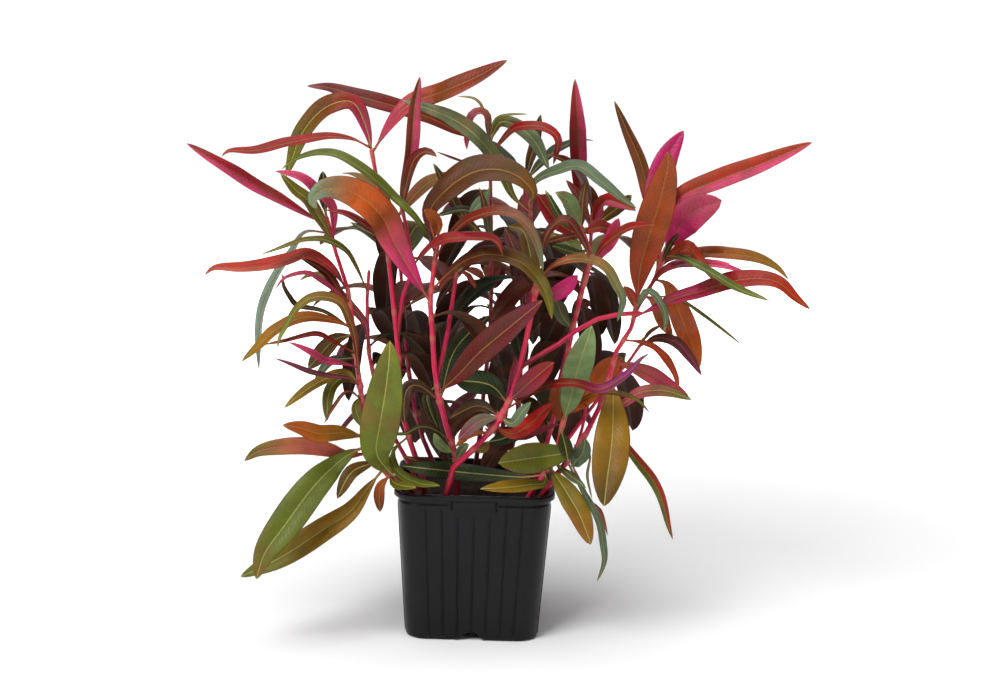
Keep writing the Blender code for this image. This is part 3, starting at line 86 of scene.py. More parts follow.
# Leaves and stems
LEAF_SPACING = 2.7
PAIR_SKEW = 35.0
PAIR_SMALLER = 0.93
PAIR_REACH = 0.9
EXTRA_RISE = 0.35
EXTRA_DROOP = 0.3
SETTLE_ROUNDS = 160
SETTLE_SHARE = 0.6
STEEPEST = 1.1
FAN_MIDDLE = 1.2
FAN_TIP = 1.65
LEAST_ROOM = 0.75
EDGE_ROOM = 0.5
FOLD_ROOM = 0.2
NATURAL_DEPTH = 0.35
NATURAL_WIDTH = 0.9
FREE_AFTER = 22.0
PLANT_MIDDLE = 10.0
HANG_TURN = 0.5
BLADE_START = 0.05
BLADE_BASE_POWER = 0.9
BLADE_TIP_POWER = 0.75
STEM_CORNERS = 10
SHOOT_CORNERS = 7
STEM_STEPS = 8
PETIOLE_HALF_WIDTH = 0.75

# Fine forms
RING_SPACING = 2.4
FEWEST_RINGS = 16
COLUMNS = (-1.0, -0.93, -0.74, -0.5, -0.26, -0.1, 0.0, 0.1, 0.26, 0.5, 0.74, 0.93, 1.0)
PETIOLE_UNTIL = 0.15
PETIOLE_THICKNESS = 0.6
BLADE_THICKNESS = 0.17
MIDRIB_KEEL = 0.42
MIDRIB_GROOVE = 0.16
MIDRIB_WIDTH = 0.55
BLADE_BULGE = 0.1
TIP_WIDTH = 0.14
STEM_SPACING = 1.6
STEM_SIDES = 14
NODE_SWELLING = 0.2
NODE_REACH = 1.9
BUD_LENGTH = 3.2
BUD_WIDTH = 0.75

# Studio
FLOOR_REACH = 1.5
FLOOR_LEVEL = -0.0002
FLOOR_SIDES = 96
GLOW_FROM = 0.35
GLOW_UNTIL = 0.95
HORIZON_STRENGTH = 1.05
SKY_STRENGTH = 0.06
HORIZON_UNTIL = 0.08
SKY_FROM = 0.2
KEY_POWER = 36.0
FILL_POWER = 4.0
BACK_POWER = 6.0
TOP_POWER = 38.0

# Colours, as red, green and blue up to 255, and the share of their light that the skin gives back
TONE_GAIN = 0.66
TONE_RICHNESS = 0.12
LEAST_TONE = 0.0015
TONES = {
    "crimson": (160, 30, 44), "dark_red": (100, 16, 20), "red": (170, 32, 26), "bright_red": (205, 28, 36),
    "red_brown": (134, 42, 18), "rust": (164, 72, 20), "orange": (196, 92, 24), "red_orange": (184, 58, 22),
    "ochre": (158, 118, 34), "olive": (112, 106, 34), "olive_brown": (106, 72, 18),
    "olive_green": (112, 122, 44), "green": (66, 92, 42), "dark_green": (34, 48, 24),
    "pale_green": (134, 158, 106), "grey_green": (112, 132, 104), "magenta": (206, 46, 112),
    "pink": (218, 78, 116), "mauve": (122, 52, 72), "plum": (108, 30, 48), "brown": (92, 48, 18),
    "dark_brown": (58, 30, 14), "violet": (150, 56, 128), "salmon": (192, 98, 78), "tan": (158, 130, 70),
    "dark_olive": (58, 60, 22), "silver_green": (146, 168, 146),
}
GREEN_TONES = ("ochre", "olive", "olive_green", "green", "dark_green", "pale_green", "grey_green", "tan",
               "dark_olive", "olive_brown")
BACK_INSIDE = (112, 42, 26)
BACK_OF_GREEN = (128, 66, 66)
BACK_OF_WARM = (158, 42, 82)
BACK_OF_RED = (104, 66, 26)
RIB_ON_GREEN = (176, 172, 104)
RIB_ON_WARM = (206, 150, 84)
RIB_ON_RED = (212, 118, 118)
MARGIN_TONE = (118, 20, 34)
STEM_FOOT = (150, 22, 40)
STEM_MIDDLE = (232, 54, 98)
STEM_TOP = (212, 64, 78)
BUD_TONE = (150, 170, 96)

# Name, parent, root on the soil or None, radii, depths at the bottom and the top, path from the bottom
STEMS = (
    ("stem_centre_left", None, (-10, -20), (1.7, 1.2), (-20, -36),
     ((457, 462), (452, 447), (445, 420), (438, 394), (435, 376), (433, 340), (430, 305), (433, 275),
      (436, 255), (438, 238))),
    ("stem_centre_left_shoot", "stem_centre_left", None, (1.3, 1.0), (-26, -14),
     ((436, 380), (444, 350), (449, 325), (452, 303), (455, 285), (457, 272))),
    ("stem_front_bright", None, (-16, -34), (1.7, 1.3), (-37, -48),
     ((453, 468), (480, 443), (505, 413), (512, 395), (519, 372), (526, 340), (532, 312), (536, 288),
      (538, 275))),
    ("stem_tall_left", None, (-27, -22), (1.6, 1.0), (-24, -10),
     ((417, 456), (405, 432), (399, 412), (400, 385), (399, 360), (397, 338), (394, 310), (391, 280),
      (388, 258), (383, 205), (379, 190), (374, 165), (371, 148))),
    ("stem_tall_left_shoot", "stem_tall_left", None, (1.1, 0.9), (-16, -27),
     ((398, 345), (401, 305), (406, 285), (412, 268), (408, 235), (401, 205))),
    ("stem_left", None, (-30, -29), (1.5, 1.0), (-36, -18),
     ((402, 481), (386, 473), (367, 450), (362, 400), (358, 372), (355, 345), (352, 315), (346, 280),
      (340, 262), (335, 250), (326, 215))),
    ("stem_left_inner", None, (-32, -4), (1.3, 0.9), (-5, -10),
     ((408, 462), (395, 440), (380, 400), (370, 362), (369, 343), (367, 320), (367, 300), (368, 288),
      (369, 270))),
    ("stem_right_inner", None, (33, -4), (1.5, 1.0), (-6, -22),
     ((548, 440), (560, 390), (573, 328), (580, 300), (585, 282), (593, 268), (590, 250), (580, 225))),
    ("stem_front_crossing", "stem_front_bright", None, (1.4, 1.2), (-42, -34),
     ((520, 368), (540, 355), (560, 343), (580, 328), (600, 318), (620, 314), (642, 313))),
    ("stem_right", None, (35, -29), (1.7, 1.1), (-32, -24),
     ((560, 470), (580, 445), (595, 415), (605, 395), (612, 362), (620, 345), (630, 330), (637, 316),
      (638, 300))),
    ("stem_right_fork", "stem_right", None, (1.0, 0.9), (-24, -22),
     ((637, 316), (645, 295), (653, 282), (660, 268), (664, 250))),
    ("stem_right_thin", "stem_right", None, (0.9, 0.8), (-27, -14),
     ((576, 451), (583, 425), (586, 405), (588, 392))),
    ("stem_low_right", None, (28, -31), (1.5, 1.0), (-35, -38),
     ((548, 468), (556, 452), (561, 430), (566, 414))),
    ("stem_back_centre", None, (8, 12), (1.5, 1.0), (12, 9),
     ((498, 450), (508, 400), (513, 370), (519, 350), (527, 327), (530, 300), (531, 250), (530, 200))),
    ("stem_back_tall", None, (-2, 22), (1.4, 0.8), (20, 28),
     ((480, 440), (485, 373), (489, 355), (491, 300), (491, 205), (489, 140))),
    ("stem_back_right", None, (16, 28), (1.4, 0.9), (28, 66),
     ((515, 440), (520, 380), (524, 320), (524, 250), (525, 178))),
    ("stem_far_right", None, (28, 24), (1.4, 0.9), (24, 34),
     ((545, 440), (562, 370), (578, 300), (590, 250), (592, 212))),
    ("stem_rosette_right", None, (35, 12), (1.2, 0.8), (11, 4),
     ((575, 430), (605, 390), (625, 365), (637, 355), (641, 344))),
    ("stem_back_left", None, (-22, 26), (1.4, 0.9), (26, 66),
     ((420, 430), (410, 380), (404, 320), (400, 260), (396, 215))),
)

# Own name or "", stem, width seen, turn, fold, depths half way and at the tip, tones from base to tip (of
# the half on the left of the way it grows, then after a bar of the other half), path from base to tip
# A pink tone after the bar is painted sheen: it lightens the half of the blade that catches the light, so the
# two halves differ by how light falls
LEAVES = (
    ("leaf_top_left_low", "stem_tall_left", 11, 50, 12, -18, -22, "crimson",
     ((371, 149), (352, 139), (325, 137), (290, 143), (255, 151), (230, 151), (221, 157))),
    ("leaf_top_left_hook", "stem_tall_left", 20, 20, 12, 0, -5, "magenta>red_brown>olive_brown>olive",
     ((371, 152), (366, 128), (352, 102), (325, 108), (303, 132), (292, 160), (286, 177))),
    ("leaf_top_right_spear", "stem_tall_left", 20, 30, 10, -13, -15, "pink>rust>red_brown",
     ((373, 150), (392, 122), (412, 103), (440, 93), (475, 78), (508, 60))),
    ("leaf_top_upright", "stem_tall_left_shoot", 13, 25, 18, -29, -24, "red_brown|pink",
     ((401, 212), (403, 190), (411, 150), (414, 110), (420, 76))),
    ("", "stem_tall_left_shoot", 12, 45, 12, -30, -36, "dark_red",
     ((401, 207), (412, 165), (425, 152), (437, 157))),
    ("", "stem_tall_left_shoot", 11, 58, 12, -42, -46, "crimson",
     ((411, 270), (425, 252), (445, 240), (475, 238), (495, 241), (503, 256))),
    ("", "stem_tall_left_shoot", 8, 58, 10, -32, -34, "crimson",
     ((411, 262), (385, 240), (365, 225), (345, 214), (325, 210))),
    ("", "stem_tall_left_shoot", 8, 55, 10, -12, -8, "dark_olive",
     ((410, 248), (398, 248), (350, 222))),
    ("", "stem_tall_left", 8, 60, 10, -42, -53, "olive_green",
     ((407, 436), (393, 450), (393, 465), (403, 477), (420, 484), (440, 486))),
    ("", "stem_centre_left", 12, 30, 10, -34, -38, "orange",
     ((438, 240), (436, 222), (424, 210))),
    ("leaf_long_green", "stem_centre_left", 10, 60, 12, -44, -40, "olive_green",
     ((437, 242), (425, 232), (412, 215), (395, 200), (375, 180), (355, 165), (335, 155), (315, 154),
      (295, 160), (281, 170))),
    ("leaf_brown_arch", "stem_centre_left", 28, 35, 10, -36, -40, "dark_red>brown>brown>olive_brown",
     ((437, 236), (430, 212), (450, 187), (475, 172), (500, 170), (520, 178), (533, 193), (530, 201))),
    ("leaf_front_arch_high", "stem_centre_left", 11, 55, 12, -50, -56, "dark_red>red_brown>grey_green",
     ((437, 264), (445, 243), (460, 226), (475, 217), (495, 212), (515, 216), (530, 230), (538, 250),
      (543, 272))),
    ("leaf_front_arch_low", "stem_centre_left", 16, 45, 12, -53, -60, "dark_red>brown>olive",
     ((434, 292), (455, 268), (475, 257), (495, 255), (515, 260), (530, 270), (545, 292), (552, 320))),
    ("leaf_big_rust_left", "stem_centre_left", 30, 15, 10, -44, -52, "magenta>pink>rust>orange>grey_green",
     ((430, 303), (413, 275), (403, 258), (392, 238), (383, 218), (365, 200), (345, 190), (325, 189),
      (312, 200), (318, 209))),
    ("leaf_centre_spear", "stem_centre_left", 26, 15, 14, -53, -58, "dark_red>dark_red>plum",
     ((438, 392), (460, 373), (480, 352), (510, 327), (543, 300))),
    ("", "stem_centre_left", 14, 10, 8, -30, -32, "dark_brown",
     ((436, 392), (420, 386), (408, 388), (404, 405), (405, 425))),
    ("", "stem_centre_left", 10, 20, 8, -14, -12, "dark_olive",
     ((435, 386), (427, 395), (430, 410), (438, 428))),
    ("", "stem_centre_left", 4, 60, 8, -34, -38, "dark_olive",
     ((450, 441), (435, 430), (420, 427), (405, 434), (387, 434))),
    ("", "stem_centre_left", 18, 10, 8, -12, -8, "dark_green",
     ((438, 396), (455, 350), (490, 315))),
    ("", "stem_centre_left", 8, 50, 8, -22, -24, "dark_red",
     ((456, 461), (445, 465), (420, 462), (402, 456))),
    ("", "stem_centre_left", 10, 15, 8, -26, -28, "pale_green",
     ((453, 452), (440, 445), (434, 433))),
    ("", "stem_centre_left", 10, 20, 8, -28, -30, "grey_green",
     ((456, 459), (462, 450), (469, 444))),
    ("", "stem_centre_left_shoot", 5, 55, 10, -16, -20, "crimson",
     ((456, 276), (448, 279), (440, 290))),
    ("", "stem_centre_left_shoot", 6, 55, 10, -14, -18, "crimson",
     ((457, 273), (466, 274), (475, 288))),
    ("", "stem_front_bright", 24, 10, 8, -22, -16, "dark_green",
     ((509, 402), (490, 385), (455, 380))),
    ("", "stem_front_bright", 14, 30, 10, -34, -30, "dark_brown",
     ((503, 411), (478, 406), (450, 418))),
    ("", "stem_front_bright", 14, 20, 10, -44, -46, "grey_green>mauve",
     ((500, 417), (480, 421), (458, 440))),
    ("", "stem_front_bright", 7, 40, 8, -32, -32, "orange",
     ((489, 430), (470, 435), (455, 447))),
    ("", "stem_front_bright", 9, 20, 8, -28, -28, "tan",
     ((473, 450), (483, 449), (488, 441))),
    ("", "stem_front_bright", 16, 15, 8, -26, -24, "dark_green",
     ((503, 416), (519, 428), (505, 438), (488, 442))),
    ("", "stem_front_bright", 11, 15, 8, -46, -48, "grey_green",
     ((504, 416), (512, 424), (522, 412), (531, 402))),
    ("", "stem_front_bright", 20, 10, 10, -48, -52, "mauve>crimson",
     ((511, 399), (535, 378), (554, 362))),
    ("leaf_violet_strap", "stem_front_bright", 9, 50, 10, -52, -50, "dark_red>crimson>violet",
     ((508, 408), (535, 392), (550, 385), (575, 384), (600, 390), (615, 383), (630, 372), (640, 360),
      (650, 353))),
    ("", "stem_front_bright", 16, 5, 8, -32, -34, "bright_red",
     ((494, 428), (512, 434), (530, 424), (553, 402))),
    ("", "stem_front_bright", 8, 30, 8, -26, -28, "crimson>pink",
     ((492, 430), (520, 437), (540, 430), (560, 424))),
    ("leaf_front_hook_right", "stem_front_bright", 11, 50, 12, -50, -55, "crimson>tan>grey_green",
     ((538, 279), (550, 268), (565, 261), (580, 259), (595, 262), (607, 270), (615, 285), (622, 300),
      (617, 322))),
    ("", "stem_front_bright", 16, 10, 8, -45, -46, "magenta",
     ((536, 290), (551, 295), (565, 288), (578, 275))),
    ("", "stem_front_bright", 18, 40, 10, -30, -26, "olive_brown",
     ((538, 277), (525, 235), (508, 226))),
    ("", "stem_front_bright", 16, 25, 10, -20, -15, "dark_red",
     ((536, 286), (520, 262), (505, 228))),
    ("", "stem_front_bright", 9, 50, 10, -47, -52, "dark_red",
     ((539, 276), (545, 240), (556, 224), (567, 220), (577, 232), (586, 248), (589, 260))),
    ("leaf_left_spear", "stem_left", 13, 40, 14, -22, -22, "pink|crimson",
     ((327, 219), (313, 218), (250, 183), (186, 143))),
    ("", "stem_left", 10, 45, 12, -28, -26, "pink",
     ((331, 232), (332, 208), (315, 190), (300, 177), (275, 171))),
    ("", "stem_left", 12, 35, 10, -32, -34, "tan>olive",
     ((328, 222), (310, 203), (295, 190), (280, 173))),
    ("", "stem_left", 11, 30, 10, -17, -14, "brown>dark_green",
     ((326, 217), (323, 195), (323, 171))),
    ("leaf_left_hanging", "stem_left", 10, 48, 12, -20, -22, "silver_green",
     ((327, 220), (305, 232), (292, 252), (280, 270), (270, 287), (263, 305), (260, 325), (259, 345),
      (259, 370))),
    ("leaf_left_red", "stem_left", 13, 45, 12, -38, -40, "crimson>salmon|crimson>red_orange",
     ((349, 292), (335, 272), (320, 260), (305, 254), (290, 259), (265, 266), (240, 268), (215, 268),
      (204, 276))),
    ("", "stem_left", 9, 45, 10, -30, -28, "dark_red",
     ((350, 305), (338, 290), (328, 275), (315, 265), (299, 257))),
    ("", "stem_left", 5, 50, 10, -44, -46, "pink",
     ((348, 296), (320, 280), (306, 273), (285, 278), (275, 290))),
    ("", "stem_left", 5, 50, 10, -26, -26, "dark_brown",
     ((353, 330), (325, 312), (298, 306), (290, 298), (283, 285), (283, 272))),
    ("leaf_left_olive_hook", "stem_left", 9, 45, 12, -46, -42, "crimson>olive_green",
     ((358, 374), (355, 340), (348, 318), (340, 303), (325, 297), (310, 299), (297, 309), (287, 325),
      (279, 340), (278, 350))),
    ("", "stem_left", 12, 40, 12, -36, -34, "orange>ochre",
     ((353, 330), (345, 325), (330, 320), (310, 317), (290, 322), (272, 333), (260, 345), (241, 362))),
    ("", "stem_left", 5, 55, 10, -42, -42, "crimson",
     ((355, 352), (345, 348), (330, 340), (315, 334), (285, 341), (263, 345))),
    ("", "stem_left", 7, 50, 10, -50, -48, "pink",
     ((357, 366), (340, 363), (325, 361), (315, 355), (300, 347), (288, 342))),
    ("", "stem_left", 17, 15, 8, -24, -22, "olive_brown",
     ((354, 335), (335, 340), (320, 355), (308, 369))),
    ("", "stem_left", 5, 50, 10, -48, -50, "mauve",
     ((359, 380), (350, 379), (330, 376), (310, 372), (290, 364), (274, 358))),
    ("", "stem_left", 9, 40, 10, -28, -28, "dark_green>grey_green",
     ((357, 360), (345, 359), (330, 362), (314, 383))),
    ("", "stem_left", 10, 40, 10, -40, -38, "ochre",
     ((359, 376), (345, 372), (320, 382), (300, 395), (284, 408))),
    ("", "stem_left", 12, 20, 8, -34, -34, "olive",
     ((360, 388), (345, 378), (333, 385), (328, 400), (327, 421))),
    ("", "stem_left", 4, 50, 8, -50, -52, "dark_red",
     ((361, 399), (348, 391), (335, 405), (324, 424))),
    ("", "stem_left", 10, 20, 8, -32, -32, "olive",
     ((362, 394), (356, 408), (362, 427))),
    ("leaf_low_left_ochre", "stem_left", 17, 20, 10, -46, -48, "ochre>orange",
     ((365, 437), (341, 433), (319, 434), (300, 428), (282, 425))),
    ("leaf_low_left_salmon", "stem_left", 17, 15, 10, -38, -38, "salmon>salmon>olive",
     ((368, 454), (345, 455), (329, 450), (300, 446), (262, 450), (244, 461))),
    ("leaf_low_left_green", "stem_left", 32, 10, 10, -58, -62, "olive_green",
     ((366, 444), (345, 457), (315, 485), (285, 525), (265, 553), (256, 580))),
    ("leaf_low_left_olive", "stem_left", 24, 15, 10, -46, -46, "ochre>ochre>olive_green",
     ((381, 473), (368, 488), (350, 512), (320, 532), (285, 555), (255, 570), (240, 577))),
    ("", "stem_left", 14, 15, 10, -44, -44, "olive_brown",
     ((371, 460), (352, 472), (337, 499))),
    ("", "stem_left", 11, 10, 8, -36, -36, "orange>brown",
     ((383, 475), (380, 488), (380, 512))),
    ("", "stem_left", 9, 50, 8, -50, -52, "olive",
     ((386, 477), (395, 484), (416, 488))),
    ("leaf_front_shield", "stem_left", 38, 0, 8, -64, -60, "olive_green",
     ((382, 474), (377, 455), (380, 425), (385, 395), (389, 362), (390, 340))),
    ("", "stem_left_inner", 6, 58, 10, -32, -36, "olive",
     ((368, 292), (355, 265), (345, 250), (325, 240), (305, 240), (290, 245), (260, 255))),
    ("", "stem_left_inner", 9, 50, 10, -14, -12, "magenta>olive",
     ((370, 350), (365, 325), (350, 306), (335, 290), (325, 277), (310, 275), (299, 281))),
    ("leaf_top_right_upright", "stem_far_right", 17, 20, 16, 6, 3, "crimson|pink",
     ((591, 218), (581, 198), (579, 150), (578, 120), (575, 78))),
    ("", "stem_far_right", 11, 50, 10, 12, 10, "dark_red",
     ((591, 214), (585, 185), (568, 163), (547, 154))),
    ("", "stem_far_right", 8, 30, 8, 26, 30, "red_brown",
     ((592, 220), (595, 200), (590, 185))),
    ("", "stem_far_right", 6, 30, 8, 34, 38, "grey_green",
     ((591, 222), (596, 215), (590, 202))),
    ("", "stem_far_right", 15, 30, 12, 4, 0, "red|pink",
     ((592, 215), (604, 202), (620, 204), (636, 211))),
    ("", "stem_far_right", 14, 30, 10, 16, 18, "olive_brown",
     ((591, 226), (612, 212), (625, 203), (632, 195))),
    ("", "stem_far_right", 10, 25, 8, 10, 6, "crimson",
     ((590, 219), (580, 200), (566, 180))),
    ("leaf_top_grey_arch", "stem_back_centre", 13, 50, 12, -14, -20, "grey_green",
     ((530, 204), (535, 182), (560, 170), (580, 167), (600, 182), (620, 198), (637, 209))),
    ("leaf_top_grey_left", "stem_back_centre", 17, 30, 10, -4, -8, "olive>grey_green",
     ((530, 210), (512, 195), (500, 168), (480, 140), (450, 118), (402, 100))),
    ("", "stem_back_right", 11, 20, 10, 30, 24, "olive_brown",
     ((525, 182), (530, 160), (536, 140), (541, 114))),
    ("leaf_top_left_long", "stem_back_tall", 17, 30, 10, 13, 12, "red_brown>red_brown>mauve",
     ((489, 150), (478, 139), (455, 130), (430, 118), (400, 108), (360, 97), (330, 88), (306, 86))),
    ("", "stem_back_tall", 9, 45, 10, 8, 4, "olive>pink",
     ((489, 143), (487, 118), (478, 112), (469, 122), (467, 150))),
    ("", "stem_back_tall", 3, 45, 8, 20, 22, "olive",
     ((489, 142), (495, 120), (507, 115), (528, 114))),
    ("", "stem_back_tall", 15, 20, 10, 18, 16, "olive>grey_green",
     ((489, 146), (500, 122), (520, 128), (535, 142), (549, 170))),
    ("", "stem_back_tall", 10, 40, 10, 10, 8, "crimson",
     ((490, 156), (510, 132), (525, 126), (545, 128), (558, 140), (553, 165))),
    ("", "stem_back_tall", 3, 45, 8, 26, 28, "olive_brown",
     ((489, 141), (484, 112), (475, 99), (457, 96))),
    ("", "stem_back_tall", 3, 50, 8, 8, 4, "red_brown",
     ((490, 168), (464, 162), (437, 152))),
    ("", "stem_back_tall", 11, 30, 10, 2, -2, "olive_brown",
     ((491, 244), (462, 215), (445, 185), (433, 163))),
    ("", "stem_back_tall", 12, 20, 10, 4, -6, "grey_green",
     ((490, 186), (485, 197), (470, 215))),
    ("", "stem_back_tall", 8, 30, 10, 8, 6, "grey_green>brown",
     ((491, 250), (484, 205), (479, 187))),
    ("", "stem_back_tall", 8, 50, 10, 4, -4, "dark_green",
     ((491, 220), (465, 210), (437, 216))),
    ("leaf_broad_rust_right", "stem_right", 33, 5, 8, -42, -46, "red_orange>rust>rust",
     ((638, 303), (640, 270), (648, 240), (660, 200), (668, 165), (667, 151))),
    ("", "stem_right_fork", 26, 5, 8, -18, -14, "magenta",
     ((663, 256), (655, 215), (660, 180), (668, 156), (684, 130))),
    ("leaf_right_spear", "stem_right_fork", 20, 30, 14, -14, -12, "red_orange|pink",
     ((662, 260), (662, 230), (680, 198), (720, 180), (760, 165), (813, 142))),
    ("leaf_right_upright", "stem_right_fork", 13, 30, 14, -10, -8, "orange>brown",
     ((661, 264), (657, 225), (648, 190), (640, 160), (627, 130), (614, 100))),
    ("leaf_magenta_right", "stem_right_fork", 32, 5, 8, -26, -26, "magenta>pink",
     ((664, 252), (690, 215), (722, 200))),
    ("", "stem_right_fork", 6, 30, 8, -30, -34, "dark_brown",
     ((664, 254), (672, 242), (680, 233))),
    ("", "stem_right_fork", 12, 40, 10, -31, -33, "red_orange",
     ((662, 262), (685, 246), (700, 262), (714, 281))),
    ("leaf_right_arch_red", "stem_right_fork", 13, 48, 12, -19, -20, "red_brown>rust>ochre",
     ((650, 288), (665, 261), (690, 255), (720, 254), (750, 257), (775, 267), (789, 280))),
    ("", "stem_right_fork", 10, 52, 10, -33, -31, "crimson>pink",
     ((648, 292), (662, 272), (685, 264), (715, 265), (744, 271))),
    ("leaf_right_green", "stem_right_fork", 9, 52, 10, -40, -42, "green>olive_green",
     ((664, 253), (680, 257), (700, 267), (718, 277), (740, 290), (770, 301))),
    ("", "stem_right_fork", 4, 62, 8, -20, -20, "olive",
     ((645, 297), (675, 298), (700, 313), (742, 345))),
    ("leaf_right_hanging", "stem_right_fork", 24, 10, 8, -14, -18, "orange>rust>orange",
     ((658, 272), (667, 285), (678, 310), (690, 340), (699, 370))),
    ("", "stem_right_fork", 15, 10, 8, -12, -14, "orange",
     ((645, 296), (655, 303), (665, 325), (673, 336))),
    ("leaf_right_long_pink", "stem_right", 17, 38, 12, -38, -40, "magenta>crimson>red_orange",
     ((637, 315), (672, 300), (700, 292), (730, 282), (760, 279), (780, 284), (795, 298), (811, 310))),
    ("", "stem_right", 10, 20, 8, -18, -16, "red_orange",
     ((637, 309), (631, 295), (624, 286))),
    ("", "stem_right", 8, 50, 8, -36, -40, "grey_green",
     ((638, 306), (646, 292), (657, 298), (665, 315), (664, 332))),
    ("", "stem_right", 8, 48, 8, -28, -30, "red_orange",
     ((624, 339), (640, 342), (655, 348), (668, 362), (676, 378), (678, 392))),
    ("leaf_right_pink_low", "stem_right", 17, 20, 10, -26, -28, "salmon>pink",
     ((612, 364), (628, 366), (650, 375), (670, 388), (690, 399))),
    ("", "stem_right", 12, 30, 8, -34, -36, "pink>olive",
     ((604, 398), (622, 404), (635, 395), (650, 391), (670, 392), (692, 400))),
    ("leaf_right_ochre_hanging", "stem_right", 36, 0, 8, -46, -52, "ochre>ochre>olive_brown",
     ((608, 380), (613, 393), (612, 440), (607, 480), (604, 507))),
    ("leaf_low_right_trailing", "stem_right", 10, 40, 10, -30, -28, "red_orange|olive_green",
     ((602, 402), (612, 425), (627, 448), (640, 465), (652, 480), (661, 498), (668, 525), (673, 540))),
    ("", "stem_right", 3, 45, 8, -24, -24, "red_brown>grey_green",
     ((582, 441), (590, 455), (587, 475), (592, 499))),
    ("", "stem_right", 8, 45, 8, -22, -20, "grey_green",
     ((566, 462), (582, 490), (598, 520), (603, 545), (604, 562), (597, 582))),
    ("", "stem_right", 5, 40, 8, -14, -12, "red",
     ((570, 457), (588, 500), (600, 511), (608, 536))),
    ("leaf_front_olive", "stem_right", 30, 5, 10, -50, -56, "olive_green>olive",
     ((578, 448), (566, 453), (540, 457), (498, 463))),
    ("", "stem_right", 16, 15, 8, -34, -38, "grey_green",
     ((585, 434), (583, 452), (571, 467))),
    ("", "stem_right_thin", 22, 10, 8, -10, -12, "orange",
     ((588, 394), (605, 372), (622, 358))),
    ("", "stem_low_right", 22, 10, 8, -38, -34, "orange",
     ((565, 416), (575, 402), (600, 388))),
    ("", "stem_low_right", 22, 10, 8, -24, -18, "rust",
     ((563, 422), (560, 400), (560, 378))),
    ("", "stem_low_right", 5, 55, 8, -46, -48, "red_orange>olive",
     ((563, 426), (568, 412), (580, 402), (600, 393), (620, 394), (637, 400), (650, 413))),
    ("", "stem_low_right", 14, 10, 8, -56, -60, "dark_olive",
     ((562, 430), (565, 445), (568, 461))),
    ("leaf_rim_drooping", "stem_low_right", 22, 20, 10, -52, -50, "olive>ochre",
     ((549, 466), (560, 482), (571, 500), (580, 516), (591, 545))),
    ("", "stem_low_right", 12, 50, 10, -54, -56, "olive>ochre",
     ((549, 467), (545, 483), (530, 485), (505, 488), (480, 489))),
    ("", "stem_low_right", 8, 30, 8, -43, -44, "olive>grey_green",
     ((553, 460), (564, 471), (586, 488))),
    ("leaf_pale_blunt", "stem_low_right", 28, 0, 8, -53, -57, "pale_green",
     ((566, 416), (571, 396), (577, 371), (584, 350), (592, 325))),
    ("", "stem_low_right", 18, 10, 8, -28, -27, "dark_green",
     ((543, 474), (520, 477), (480, 474), (440, 470), (402, 466))),
    ("", "stem_right_inner", 9, 52, 12, -46, -56, "crimson",
     ((592, 264), (600, 250), (610, 240), (630, 228), (655, 225))),
    ("", "stem_right_inner", 14, 20, 8, -32, -32, "pink",
     ((593, 268), (605, 248), (613, 235), (619, 218))),
    ("", "stem_right_inner", 12, 25, 8, -22, -18, "brown",
     ((581, 228), (583, 200), (586, 182))),
    ("", "stem_right_inner", 16, 10, 8, -27, -27, "crimson",
     ((583, 236), (562, 226), (548, 210), (537, 193))),
    ("", "stem_right_inner", 8, 25, 8, -33, -34, "green",
     ((582, 230), (562, 220), (545, 190))),
    ("", "stem_right_inner", 16, 15, 8, -38, -38, "pale_green",
     ((581, 228), (574, 212), (567, 200), (555, 192))),
    ("", "stem_right_inner", 15, 30, 8, -30, -34, "crimson",
     ((582, 232), (600, 227), (615, 232))),
    ("", "stem_right_inner", 6, 40, 8, -20, -16, "olive",
     ((586, 244), (562, 238), (540, 232))),
    ("", "stem_right_inner", 8, 35, 8, -32, -36, "dark_red",
     ((586, 242), (575, 236), (545, 243))),
    ("", "stem_right_inner", 10, 30, 8, -38, -42, "green",
     ((589, 250), (577, 253), (552, 246))),
    ("", "stem_right_inner", 15, 15, 8, -8, -6, "grey_green",
     ((573, 328), (563, 318), (555, 297))),
    ("", "stem_rosette_right", 11, 30, 8, -10, -12, "brown>mauve",
     ((640, 348), (657, 338), (675, 342), (690, 358), (702, 376))),
    ("", "stem_rosette_right", 4, 45, 8, 2, 0, "brown",
     ((641, 345), (650, 332), (662, 325))),
)

# Leaf pairs of the hidden side: stem, share of its length, compass turn, length, width, rise, droop, tone
PAIRS = (
    ("stem_back_tall", 0.6, 88, 62, 13, 0.3, 0.5, "rust"),
    ("stem_back_right", 0.3, 40, 66, 15, 0.2, 0.6, "dark_red"),
    ("stem_back_right", 0.48, 78, 80, 17, 0.3, 0.5, "olive_brown"),
    ("stem_back_right", 0.66, 25, 66, 15, 0.4, 0.5, "crimson>olive"),
    ("stem_back_right", 0.82, 80, 84, 17, 0.5, 0.5, "red_brown"),
    ("stem_back_right", 0.98, 30, 52, 12, 0.7, 0.3, "dark_green"),
    ("stem_far_right", 0.62, 70, 66, 15, 0.3, 0.5, "dark_red>rust"),
    ("stem_far_right", 0.8, 60, 70, 15, 0.5, 0.5, "olive_green"),
    ("stem_back_left", 0.3, 30, 66, 15, 0.2, 0.6, "crimson"),
    ("stem_back_left", 0.48, 82, 80, 17, 0.3, 0.5, "brown"),
    ("stem_back_left", 0.66, 20, 70, 15, 0.4, 0.5, "red_brown>olive"),
    ("stem_back_left", 0.82, 78, 84, 17, 0.5, 0.5, "dark_green>olive"),
    ("stem_back_left", 0.98, 40, 54, 12, 0.7, 0.3, "rust>ochre"),
)

